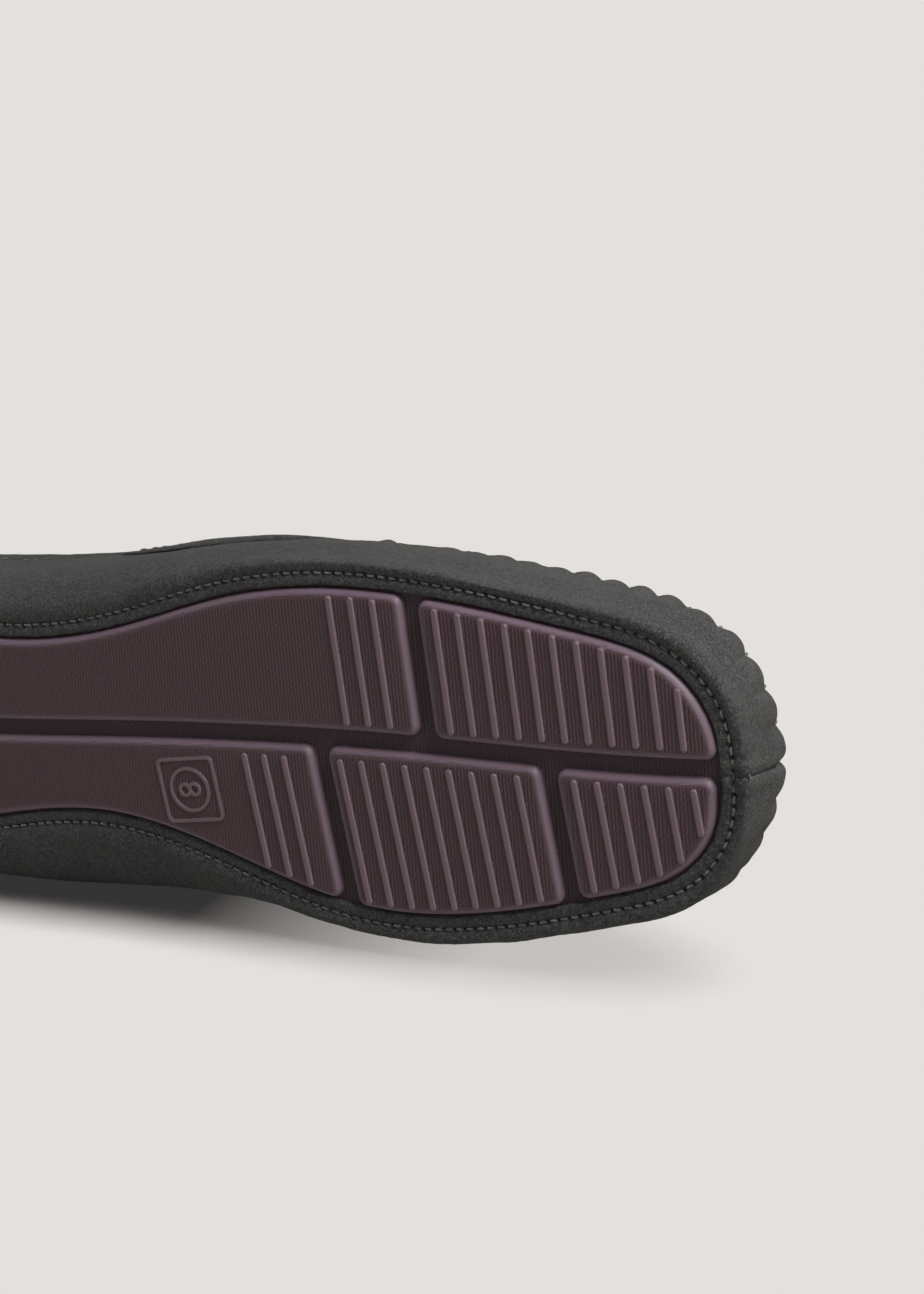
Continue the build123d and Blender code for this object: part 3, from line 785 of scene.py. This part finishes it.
def nearest_on(path, points):
    """The distance to a path and the number of its nearest point, for each point."""
    flat = points.reshape(-1, 3)
    best = np.zeros(len(flat))
    which = np.zeros(len(flat), int)
    batch = 2000
    for start in range(0, len(flat), batch):
        part = slice(start, start + batch)
        gap = np.linalg.norm(flat[part, None] - path[None], axis=2)
        which[part] = gap.argmin(1)
        best[part] = gap.min(1)
    return best.reshape(points.shape[:-1]), which.reshape(points.shape[:-1])


apron_base = ladder(ridge[lateral], ridge[medial], APRON_ROWS, APRON_COLUMNS, THROAT_Y - 0.5)
rim_path = np.concatenate([ridge[lateral][::-1], ridge[medial][1:]])
rim_s = np.concatenate([ridge_s[lateral][::-1], ridge_s[medial][1:]])
apron_gap, apron_near = nearest_on(rim_path, apron_base)
apron_out = facing(apron_base, 2)
apron_out[0] = (0, -0.5, 0.87)
gathers = lobes(rim_s[apron_near]) * pucker_strength(apron_base[..., 1])
apron_relief = 1.1 * bell(apron_gap - 2.0, 1.4) + 0.55 * gathers * np.exp(-apron_gap / 5)
apron_relief += 0.25 * bell(apron_gap - 6, 3.0) - 0.75 * bell(apron_gap, 0.9)
apron_relief += 0.5 * rough(apron_base, 30, 1.7) + 0.2 * rough(apron_base, 9, 4.0)
apron_relief += fine_grain(apron_base, 9.1)
apron_top = apron_base + apron_out * apron_relief[..., None]
add_piece("suede_apron", shell_mesh(apron_top, apron_base - apron_out * SUEDE), suede, "apron")

# ---------------------------------------------------------------- threads
def lookup(path, s, at):
    """Points of a path at distances along it."""
    return np.stack([np.interp(at, s, path[:, i]) for i in range(path.shape[1])], 1)


def stitch_row(centres, ahead, ups, length, radius, sink=0.45, steps=7):
    """A row of short stitches that arch over the surface and dive in at both ends."""
    share = np.linspace(-1, 1, steps)
    along = ahead[:, None] * (share * length / 2)[None, :, None]
    height = radius * 0.75 - (np.abs(share) ** 4) * sink
    paths = centres[:, None] + along + ups[:, None] * height[None, :, None]
    return tubes(paths, ups, radius)


def trim_row(places, radius=0.28):
    """The stitches of a trim, from a list of their centres, directions and outward directions."""
    centres, ahead, ups = [np.array(part) for part in zip(*places)]
    return stitch_row(centres, ahead, ups, TRIM_LENGTH, radius)


def sole_threads():
    """The row that sews the wraps to the rubber, each stitch slanted a little out of line."""
    at = np.arange(STITCHES) / STITCHES * stitch_s[-1]
    centres = lookup(stitch_line, stitch_s, at)
    ahead = lookup(stitch_line, stitch_s, at + 0.5) - lookup(stitch_line, stitch_s, at - 0.5)
    ahead = unit(np.column_stack([ahead, np.zeros(STITCHES)]))
    turned = np.column_stack([-ahead[:, 1], ahead[:, 0], np.zeros(STITCHES)])
    ahead += turned * (0.09 + rng.normal(0, 0.02, (STITCHES, 1)))
    centres = np.column_stack([centres, np.full(STITCHES, RIM_BOTTOM + STITCH_DROP)])
    downs = np.tile([0.0, 0.0, -1.0], (STITCHES, 1))
    return stitch_row(centres, ahead, downs, 1.8, 0.25)


def apron_threads():
    """One strong stitch over the apron seam in each valley of the gathers."""
    reach = 3.0
    share = np.linspace(0, 1, 9)[:, None]
    crown = np.sin(share * math.pi) * 0.9 - 1.1 * np.abs(share * 2 - 1) ** 6 + 0.25
    paths, ups = [], []
    count = int(rim_s.max() / PUCKER_PITCH) + 1
    for columns in (lateral, medial):
        for k in range(1, count):
            near = columns[np.argmin(np.abs(ridge_s[columns] - k * PUCKER_PITCH))]
            if top_y[near] > PUCKER_REAR:
                continue
            low = outer_face[np.argmin(np.abs(from_top[:, near] - reach)), near]
            along = ridge[(near + 1) % COLUMNS] - ridge[near - 1]
            high = ridge[near] + unit(np.array([along[1], -along[0], 0.0])) * reach
            high[2] = roof(high[0], high[1]) + 1.0
            up = out[-1, near] * 0.5 + np.array([0, 0, 0.86])
            paths.append(low * (1 - share) + high * share + up * crown)
            ups.append(up)
    return tubes(np.array(paths), np.array(ups), 0.42)


def toe_threads():
    """Short stitches across the seam at the middle of the toe."""
    rows = [int(r) for r in np.linspace(RIM_ROWS + 2, len(base) - 12, 4)]
    centre = outer_face[rows, 0] + out[rows, 0] * 0.3
    sideways = unit(outer_face[rows, 1] - outer_face[rows, -1])
    return stitch_row(centre, sideways, out[rows, 0], 2.2, 0.24, sink=0.7)


add_piece("thread_sole_row", sole_threads(), thread, "sole_stitches")
add_piece("thread_apron_seam", apron_threads(), thread, "apron_stitches")
add_piece("thread_toe_seam", toe_threads(), thread, "toe_seam_stitches")

# ---------------------------------------------------------------- saddle strap
STRAP_STEPS = 90
STRAP_COLUMNS = 40
side_columns = {
    -1: np.arange(0, HEEL_COLUMN + 1),
    1: np.r_[0, np.arange(COLUMNS - 1, HEEL_COLUMN - 1, -1)],
}


def wall_x(side, y, z):
    """How far out the wall lies on one side, for arrays of y and z."""
    columns = side_columns[side]
    levels = np.array([np.interp(y, level[columns, 1], level[columns, 0]) for level in STACK])
    low, part = level_below(z)
    here = np.indices(y.shape)
    return levels[(low, *here)] * (1 - part) + levels[(low + 1, *here)] * part


def strap_half(side, share, steps):
    """The strap's path on one side, from its lower end up to the middle of the instep."""
    low = STRAP_LOW[0] + (STRAP_LOW[1] - STRAP_LOW[0]) * share
    z = np.linspace(low, STRAP_TOP, 260)
    y_front = np.interp(z, STRAP_FRONT[:, 0], STRAP_FRONT[:, 1])
    y_rear = np.interp(z, STRAP_REAR[:, 0], STRAP_REAR[:, 1])
    y = y_front + share * (y_rear - y_front)
    x = wall_x(side, y, z)
    over = z > roof(x, y)
    top = int(np.argmax(over)) if over.any() else len(z) - 1
    wall = np.column_stack([x, y, z])[:max(top, 2)]
    share_in = np.linspace(0, 1, 80)[1:]
    x_in = wall[-1, 0] * (1 - share_in)
    y_mid = STRAP_FRONT[-2, 1] + share * (STRAP_REAR[-2, 1] - STRAP_FRONT[-2, 1])
    y_in = wall[-1, 1] + (y_mid - wall[-1, 1]) * np.minimum(1, share_in * 1.6)
    path = np.concatenate([wall, np.column_stack([x_in, y_in, roof(x_in, y_in)])])
    run = line_length(path)
    return lookup(path, run, np.linspace(0, run[-1], steps))


strap_lines = []
for share in (1 - np.cos(np.linspace(0, math.pi, STRAP_COLUMNS))) / 2:
    left = strap_half(-1, share, STRAP_STEPS)
    right = strap_half(1, share, STRAP_STEPS)
    strap_lines.append(np.concatenate([left, right[-2::-1]]))
strap_base = np.stack(strap_lines, 1)
ends = strap_base[[0, -1]].copy()
strap_base = smooth_line(strap_base, 2.5)
strap_base[[0, -1]] = ends
strap_out = normals(strap_base)
strap_middle = np.array([0, strap_base[..., 1].mean(), 35.0])
strap_out *= np.sign(((strap_base - strap_middle) * strap_out).sum())
strap_gap = edge_gap(strap_base)
strap_round = rounded(strap_gap, SUEDE)
strap_thick = 0.3 + 1.1 * strap_round - 0.4 * bell(strap_gap - 2.6, 0.7)
strap_thick += 0.3 * bell(strap_gap - 5.5, 2.2) + 0.3 * rough(strap_base, 17, 6.0) * strap_round
strap_thick += fine_grain(strap_base, 3.0, 0.06)
# Its rear ends are pressed flatter
strap_thick *= np.interp(strap_base[..., 1], [12.0, 32.0], [1.0, 0.4])
strap_shape = shell_mesh(strap_base + strap_out * (strap_thick + 0.3)[..., None],
                         strap_base + strap_out * 0.15)
add_piece("suede_saddle_strap", strap_shape, suede_soft, "saddle_strap")


def strap_threads():
    """The rows that hold the strap's lower ends to the wraps."""
    places = []
    for row in (3, -4):
        s = line_length(strap_base[row])
        for at in np.arange(4.0, s[-1] - 2, TRIM_PITCH):
            k = int(np.clip(np.argmin(np.abs(s - at)), 1, STRAP_COLUMNS - 2))
            here = strap_base[row, k] + strap_out[row, k] * (strap_thick[row, k] + 0.25)
            step = unit(strap_base[row, k + 1] - strap_base[row, k - 1])
            places.append((here, step, strap_out[row, k]))
    return trim_row(places, 0.3)


add_piece("thread_strap_ends", strap_threads(), thread, "strap_stitches")

# ---------------------------------------------------------------- collar roll
COLLAR_STEPS = 420
# The roll's section as (outwards, upwards) from the top edge. Its points from ROLL_INSIDE on
# lie against the lining and stay put.
COLLAR_PROFILE = np.array([
    (0.6, -8.0), (0.9, -6.6), (1.1, -4.6), (1.0, -2.4), (0.6, -0.6), (-0.1, 0.6), (-1.1, 1.2),
    (-2.1, 1.35), (-3.2, 1.2), (-4.6, 0.6), (-5.6, -0.6), (-6.1, -2.4), (-6.1, -4.6),
    (-5.8, -6.6), (-5.1, -8.0), (-3.8, -7.4), (-2.1, -7.0), (-0.4, -7.4),
])
ROLL_INSIDE = 13
rear = np.where(top_y > THROAT_Y - 1)[0]
rear_line = ridge[rear]
rear_s = line_length(rear_line)
collar_at = np.linspace(0, rear_s[-1], COLLAR_STEPS)
collar_line = smooth_line(lookup(rear_line, rear_s, collar_at), 3)
collar_tangent = unit(np.gradient(collar_line, axis=0))
collar_side = unit(np.cross([0, 0, 1.0], collar_tangent))
collar_up = np.cross(collar_tangent, collar_side)


def simulate(points, faces, pins, pressure, travel, grow):
    """Puffs a sewn cover with Blender's cloth, at ten times size, and caps its travel."""
    scale, steps = 10.0, 20
    mesh = bpy.data.meshes.new("cover")
    mesh.from_pydata((points * MM * scale).tolist(), [], faces.tolist())
    cover = new_object("cover", mesh)
    group = cover.vertex_groups.new(name="sewn")
    group.add(np.unique(pins).tolist(), 1.0, "REPLACE")
    settings = cover.modifiers.new("cloth", "CLOTH").settings
    settings.quality = 5
    settings.mass = 0.3
    settings.tension_stiffness = 15
    settings.compression_stiffness = 15
    settings.shear_stiffness = 5
    settings.bending_stiffness = 0.5
    settings.use_pressure = True
    settings.uniform_pressure_force = pressure
    settings.shrink_min = -grow
    settings.vertex_group_mass = "sewn"
    settings.effector_weights.gravity = 0
    for step in range(1, steps + 1):
        bpy.context.scene.frame_set(step)
    shaped = cover.evaluated_get(bpy.context.evaluated_depsgraph_get())
    moved = np.zeros(len(points) * 3, np.float32)
    shaped.data.vertices.foreach_get("co", moved)
    shift = moved.reshape(-1, 3) / (MM * scale) - points
    bpy.data.objects.remove(cover)
    bpy.data.meshes.remove(mesh)
    bpy.context.scene.frame_set(1)
    far = np.linalg.norm(shift, axis=1, keepdims=True)
    return points + shift * np.minimum(1, travel / np.maximum(far, 1e-9))


def collar():
    """The padded roll over the top edge of the quarters, and the vertex numbers of its grid."""
    wide = COLLAR_PROFILE[None, :, :1]
    high = COLLAR_PROFILE[None, :, 1:]
    grid = collar_line[:, None] + collar_side[:, None] * wide + collar_up[:, None] * high
    rings, sides = grid.shape[:2]
    index = np.arange(rings * sides).reshape(rings, sides)
    points = grid.reshape(-1, 3)
    caps = []
    for ring in (index[0], index[-1][::-1]):
        for k in range(1, sides // 2):
            caps.append([ring[k - 1], ring[k], ring[sides - 1 - k], ring[(sides - k) % sides]])
    faces = np.concatenate([quads(index, closed=True), np.array(caps)])
    if signed_volume(points, faces) < 0:
        faces = faces[:, ::-1]
    return points, faces, index


points, faces, collar_index = collar()
sewn = np.concatenate([collar_index[:, 0], collar_index[:, ROLL_INSIDE:].ravel(),
                       collar_index[0], collar_index[-1]])
points = simulate(points, faces, sewn, pressure=6.0, travel=0.9, grow=0.05)
collar_grid = points[collar_index]
collar_out = normals(collar_grid)
collar_middle = collar_grid.mean(1, keepdims=True)
collar_out *= np.sign(((collar_grid - collar_middle) * collar_out).sum())
collar_relief = 0.3 * rough(collar_grid, 8, 2.0) + fine_grain(collar_grid, 5.5, 0.06)
collar_relief[:, ROLL_INSIDE:] = 0
collar_relief[[0, -1]] = 0
points = (collar_grid + collar_out * collar_relief[..., None]).reshape(-1, 3)
roll = add_piece("suede_collar_roll", (points, faces), suede_soft, "collar_binding")
smoother = roll.modifiers.new("round", "SUBSURF")
smoother.levels = smoother.render_levels = 1


def collar_threads():
    """The row under the roll that sews it to the quarters, behind the strap."""
    strap_end, profile_point = 41.0, 1
    places = []
    for at in np.arange(6.0, rear_s[-1] - 6.0, TRIM_PITCH):
        k = int(np.argmin(np.abs(collar_at - at)))
        if collar_line[k, 1] >= strap_end:
            up = collar_out[k, profile_point]
            places.append((collar_grid[k, profile_point] + up * 0.1, collar_tangent[k], up))
    return trim_row(places)


add_piece("thread_collar", collar_threads(), thread, "collar_stitches")

# ---------------------------------------------------------------- heel tab
TAB_BOTTOM, TAB_TOP = 12.5, 50.0
# Half its width at the bottom and at the top, and how far in its stitch row lies
TAB_WIDE, TAB_NARROW = 15.0, 9.0
TAB_CORNER = 5.0
TAB_STITCH_IN = 2.1
HEEL_X = 0.7
HEEL_REACH = 150


def heel_point(x, z):
    """Where the back of the heel lies at a sideways place and a height."""
    near = slice(HEEL_COLUMN - HEEL_REACH, HEEL_COLUMN + HEEL_REACH + 1)
    if z < WIDEST_Z:
        level = spline(wall_stations(z), SHARES[near])
    else:
        low, part = level_below(z)
        level = STACK[low, near] * (1 - part) + STACK[low + 1, near] * part
    return np.interp(x, level[:, 0], level[:, 1])


def tab_grid(rows=60, columns=48):
    """The tab's outline with round corners, laid on the back of the heel."""
    grid = np.zeros((rows, columns, 3))
    middle, half = (TAB_TOP + TAB_BOTTOM) / 2, (TAB_TOP - TAB_BOTTOM) / 2
    for r, b in enumerate(-np.cos(np.linspace(0, math.pi, rows))):
        for c, a in enumerate(-np.cos(np.linspace(0, math.pi, columns))):
            wide = TAB_WIDE + (TAB_NARROW - TAB_WIDE) * (b + 1) / 2
            into = max(0.0, (abs(a) * wide - wide + TAB_CORNER) / TAB_CORNER)
            high = half - TAB_CORNER * (1 - math.sqrt(max(0.0, 1 - into ** 2)))
            z = middle + b * high
            x = HEEL_X + a * wide
            grid[r, c] = (x, heel_point(x, z), z)
    return grid


tab = tab_grid()
tab_out = facing(tab, 1)
tab_gap = edge_gap(tab)
tab_thick = 0.2 + 0.85 * rounded(tab_gap, 1.2) - 0.35 * bell(tab_gap - TAB_STITCH_IN, 0.6)
tab_thick += 0.25 * bell(tab_gap - 5, 2.5) + fine_grain(tab, 2.0, 0.06)
tab_shape = shell_mesh(tab + tab_out * (tab_thick + 0.3)[..., None], tab + tab_out * 0.1)
add_piece("suede_heel_tab", tab_shape, suede_soft, "heel_patch")


def tab_threads():
    """The rows up both sides of the heel tab."""
    places = []
    for side in (-1, 1):
        for z in np.arange(TAB_BOTTOM + 4, TAB_TOP - 3, TRIM_PITCH):
            share = (z - TAB_BOTTOM) / (TAB_TOP - TAB_BOTTOM)
            wide = TAB_WIDE + share * (TAB_NARROW - TAB_WIDE)
            x = HEEL_X + side * (wide - TAB_STITCH_IN)
            here = np.array([x, heel_point(x, z), z])
            step = unit(np.array([x, heel_point(x, z + 1), z + 1]) - here)
            up = np.cross(step, np.array([x + 1, heel_point(x + 1, z), z]) - here)
            up *= np.sign(up[1]) / np.linalg.norm(up)
            places.append((here + up * 1.2, step, up))
    return trim_row(places)


add_piece("thread_heel_tab", tab_threads(), thread, "heel_patch_stitches")

# ---------------------------------------------------------------- plush lining
PILE_LENGTH = 3.6
PILE_RADIUS = 0.62
LINING_START = RIM_ROWS + CORNER_ROWS - 6
LINING_STEP = 3


def sample(grid, outs, count):
    """Random places on a grid, with their normals, spread evenly by area."""
    across = np.linalg.norm(grid[:-1, 1:] - grid[:-1, :-1], axis=2)
    along = np.linalg.norm(grid[1:, :-1] - grid[:-1, :-1], axis=2)
    weight = (across * along).ravel()
    cell = rng.choice(len(weight), count, p=weight / weight.sum())
    r, c = np.divmod(cell, across.shape[1])
    u, v = rng.random((2, count, 1))
    place = (grid[r, c] * (1 - u) * (1 - v) + grid[r, c + 1] * u * (1 - v)
             + grid[r + 1, c] * (1 - u) * v + grid[r + 1, c + 1] * u * v)
    return place, outs[r, c]


def plush_sheet(name, grid, outs, node, count, pile_part, thick=2.5):
    """A lining sheet: a lumpy backing with its pile standing up from part of it."""
    lumps = 0.5 + 0.55 * rough(grid, 3.2, 4.4)
    face = grid + outs * lumps[..., None]
    roots, ups = sample(face[pile_part], outs[pile_part], count)
    pile = tufts(roots, ups, PILE_LENGTH, PILE_RADIUS)
    add_piece(name, shell_mesh(face, grid - outs * thick), plush, node, pile)


def wall_lining(name, columns, node, count, pile_part):
    """The lining along some of the wall's columns, from the sock up to the top edge."""
    rows = slice(LINING_START, -1)
    inwards = -out[rows, columns]
    face = base[rows, columns] + inwards * LINING_DEPTH
    plush_sheet(name, face, inwards, node, count, pile_part)


wall_lining("plush_quarters", np.arange(rear[0], rear[-1] + 1, LINING_STEP), "lining_quarters",
            9500, np.s_[:, 1:-1])
wall_lining("plush_vamp_walls", np.r_[rear[-1]:COLUMNS:LINING_STEP, 0:rear[0] + 1:LINING_STEP],
            "lining_vamp", 6000, np.s_[:-9, 1:-1])
# The vamp's roof, clear of its walls all round, with pile only where the foot opening shows it
ROOF_CLEAR = 5.0
ceiling_left = ridge[lateral][::4] + np.array([ROOF_CLEAR, 0, 0])
ceiling_right = ridge[medial][::4] - np.array([ROOF_CLEAR, 0, 0])
ceiling_left[0] = ceiling_right[0] = ridge[0] + np.array([0, ROOF_CLEAR, 0])
ceiling = ladder(ceiling_left, ceiling_right, 70, 44, THROAT_Y - 2.5)
ceiling_out = facing(ceiling, 2, -1)
plush_sheet("plush_vamp_roof", ceiling + ceiling_out * LINING_DEPTH, ceiling_out, None, 5000,
            np.s_[36:, 4:-4], thick=1.2)

# ---------------------------------------------------------------- insole layers
def layer_sides(inset, height):
    """The inside of the upper at a depth and a height, as its outer and inner side."""
    line = spline(wall_stations(height, inset), SHARES)
    toe, heel = int(np.argmin(line[:, 1])), int(np.argmax(line[:, 1]))
    line = np.roll(line, -toe, axis=0)
    heel = (heel - toe) % COLUMNS
    return line[:heel + 1], np.concatenate([line[:1], line[:heel - 1:-1]])


def insole_layer(inset, low, high, bow=0.0, rows=120, columns=44):
    """The top and bottom of a pad that fills the slipper's floor, with soft edges and a crown."""
    faces = []
    for height in (low, high):
        left, right = layer_sides(inset, height)
        faces.append(ladder(left, right, rows, columns, left[-1, 1], both_ends=True, z=height))
    bottom, top = faces
    sides = 1 - np.abs(np.linspace(-1, 1, columns)) ** 10
    ends = 1 - np.abs(np.linspace(-1, 1, rows)) ** 14
    soft = np.sqrt(sides)[None, :] * np.sqrt(ends)[:, None]
    top[..., 2] = (low + high) / 2 + ((high - low) / 2 + bow) * soft
    bottom[..., 2] = (low + high) / 2 - (high - low) / 2 * soft
    return top, bottom


for name, node, inset, low, high in (
        ("foam_midsole", "midsole_foam", SUEDE + 0.5, 4.5, 7.9),
        ("foam_footbed", "footbed_foam", LINING_DEPTH + 0.3, 9.1, 12.3)):
    add_piece(name, shell_mesh(*insole_layer(inset, low, high)), foam, node)


def sock_piece():
    """The plush sock: a sewn pad, puffed by cloth, with pile over its top."""
    top, bottom = insole_layer(LINING_DEPTH + 0.6, 12.5, 14.6, bow=0.3)
    rows, columns = top.shape[:2]
    points, faces = shell_mesh(top, bottom)
    index = np.arange(rows * columns).reshape(rows, columns)
    under = (index + rows * columns).ravel()
    sewn = np.concatenate([under, index[0], index[-1], index[:, 0], index[:, -1]])
    points = simulate(points, faces, sewn, pressure=1.2, travel=1.0, grow=0.01)
    top = points[:rows * columns].reshape(rows, columns, 3)
    outs = facing(top, 2)
    inner = np.s_[6:-6, 4:-4]
    roots, ups = sample(top[inner], outs[inner], 11000)
    pile = tufts(roots, ups, PILE_LENGTH * 0.85, PILE_RADIUS)
    add_piece("plush_sock", (points, faces), plush, "insole_sock", pile)


sock_piece()

# ---------------------------------------------------------------- stage, light and camera
BACKDROP = (0.776, 0.745, 0.723)
SIDE_FLOOR_X = 0.0475
CAMERA_PLACE = (-0.17922, -0.33403, -0.47462)
CAMERA_RIGHT = (0.0854, -0.8867, 0.4544)
CAMERA_UP = (-0.9589, 0.0508, 0.2794)
CAMERA_BACK = (-0.2708, -0.4596, -0.8459)


def shown_if(n, lying):
    """1 when the slipper is looked at lying on its side if lying, or else standing; 0 if not."""
    turned = n.add("ShaderNodeVectorTransform", vector_type="VECTOR", convert_from="WORLD",
                   convert_to="CAMERA", Vector=(0, 0, 1))
    upright = n.split(turned.outputs[0])[1]
    on_side = n.math("LESS_THAN", upright, 0.45)
    return on_side if lying else n.math("SUBTRACT", 1.0, on_side)


def floor_material(name, lying):
    """A pale seamless sweep that only darkens softly round what rests on it, a painted shadow."""
    n = Surface(name)
    reach = n.add("ShaderNodeAmbientOcclusion", samples=16, Distance=0.022).outputs["AO"]
    # Painted shadow: the glow darkens where the slipper is near
    dark = n.math("SUBTRACT", 1.0, n.ramp(reach, 0.4, 0.9))
    if lying:
        # The shadow is fainter beside the forefoot than beside the heel
        along = n.split(n.add("ShaderNodeNewGeometry").outputs["Position"])[1]
        dark = n.math("MULTIPLY", dark, n.ramp(along, -0.07, 0.01, 0.3, 1.0))
    glow = n.add("ShaderNodeEmission", Color=n.mix(dark, BACKDROP, scaled(BACKDROP, 0.045)))
    clear = n.add("ShaderNodeBsdfTransparent")
    behind = n.add("ShaderNodeNewGeometry").outputs["Backfacing"]
    shown = n.math("MULTIPLY", shown_if(n, lying), n.math("SUBTRACT", 1.0, behind))
    n.set(n.output.inputs["Surface"], n.blend(shown, clear, glow))
    return n.material


def sweep(name, matrix, lying):
    """A floor far wider than the view."""
    half = 6.0
    mesh = bpy.data.meshes.new(name)
    mesh.from_pydata([(-half, -half, 0), (half, -half, 0), (half, half, 0), (-half, half, 0)],
                     [], [(0, 1, 2, 3)])
    mesh.materials.append(floor_material(name, lying))
    plane = new_object(name, mesh)
    plane.matrix_world = matrix
    plane.visible_shadow = False
    plane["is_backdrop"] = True


def soft_light(name, place, size, power, lying):
    """A round softbox aimed at the slipper, lit only for its way of looking at it."""
    light = bpy.data.lights.new(name, "AREA")
    light.shape = "DISK"
    light.size = size
    light.energy = power
    light.use_nodes = True
    n = Nodes(light.node_tree)
    glow = next(node for node in n.tree.nodes if node.type == "EMISSION")
    n.set(glow.inputs["Strength"], shown_if(n, lying))
    lamp = new_object(name, light)
    lamp.location = place
    lamp.rotation_mode = "QUATERNION"
    lamp.rotation_quaternion = (-Vector(place)).to_track_quat("-Z", "Y")


sweep("floor_standing", Matrix.Translation((0, 0, -0.0002)), False)
sweep("floor_on_side", Matrix.Translation((SIDE_FLOOR_X, 0, 0))
      @ Matrix.Rotation(math.radians(1.0), 4, "Z")
      @ Matrix.Rotation(-math.pi / 2, 4, "Y"), True)

soft_light("key_on_side", (-0.70, -0.60, -0.15), 0.45, 14.0, True)
soft_light("fill_on_side", (-0.35, -0.6, -0.75), 0.6, 2.0, True)
soft_light("key_standing", (-0.35, -0.5, 0.9), 0.5, 30.0, False)
soft_light("fill_standing", (0.7, 0.4, 0.5), 0.7, 20.0, False)

# The world looks like the floors, and lights the slipper a little bluer
world = bpy.data.worlds.new("studio")
world.use_nodes = True
n = Nodes(world.node_tree)
n.tree.nodes.clear()
seen = n.add("ShaderNodeBackground", Color=(*BACKDROP, 1))
lit = n.add("ShaderNodeBackground", Color=(0.95, 0.97, 1.0, 1), Strength=0.4)
camera_ray = n.add("ShaderNodeLightPath").outputs["Is Camera Ray"]
n.set(n.add("ShaderNodeOutputWorld").inputs["Surface"], n.blend(camera_ray, lit, seen))
bpy.context.scene.world = world
bpy.context.scene.view_settings.view_transform = "Standard"

lens = bpy.data.cameras.new("camera")
lens.lens = 72.33
lens.sensor_width = 36.0
lens.clip_start = 0.01
camera = new_object("camera", lens)
pose = Matrix((CAMERA_RIGHT, CAMERA_UP, CAMERA_BACK)).transposed().to_4x4()
pose.translation = CAMERA_PLACE
camera.matrix_world = pose
bpy.context.scene.camera = camera

low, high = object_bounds()
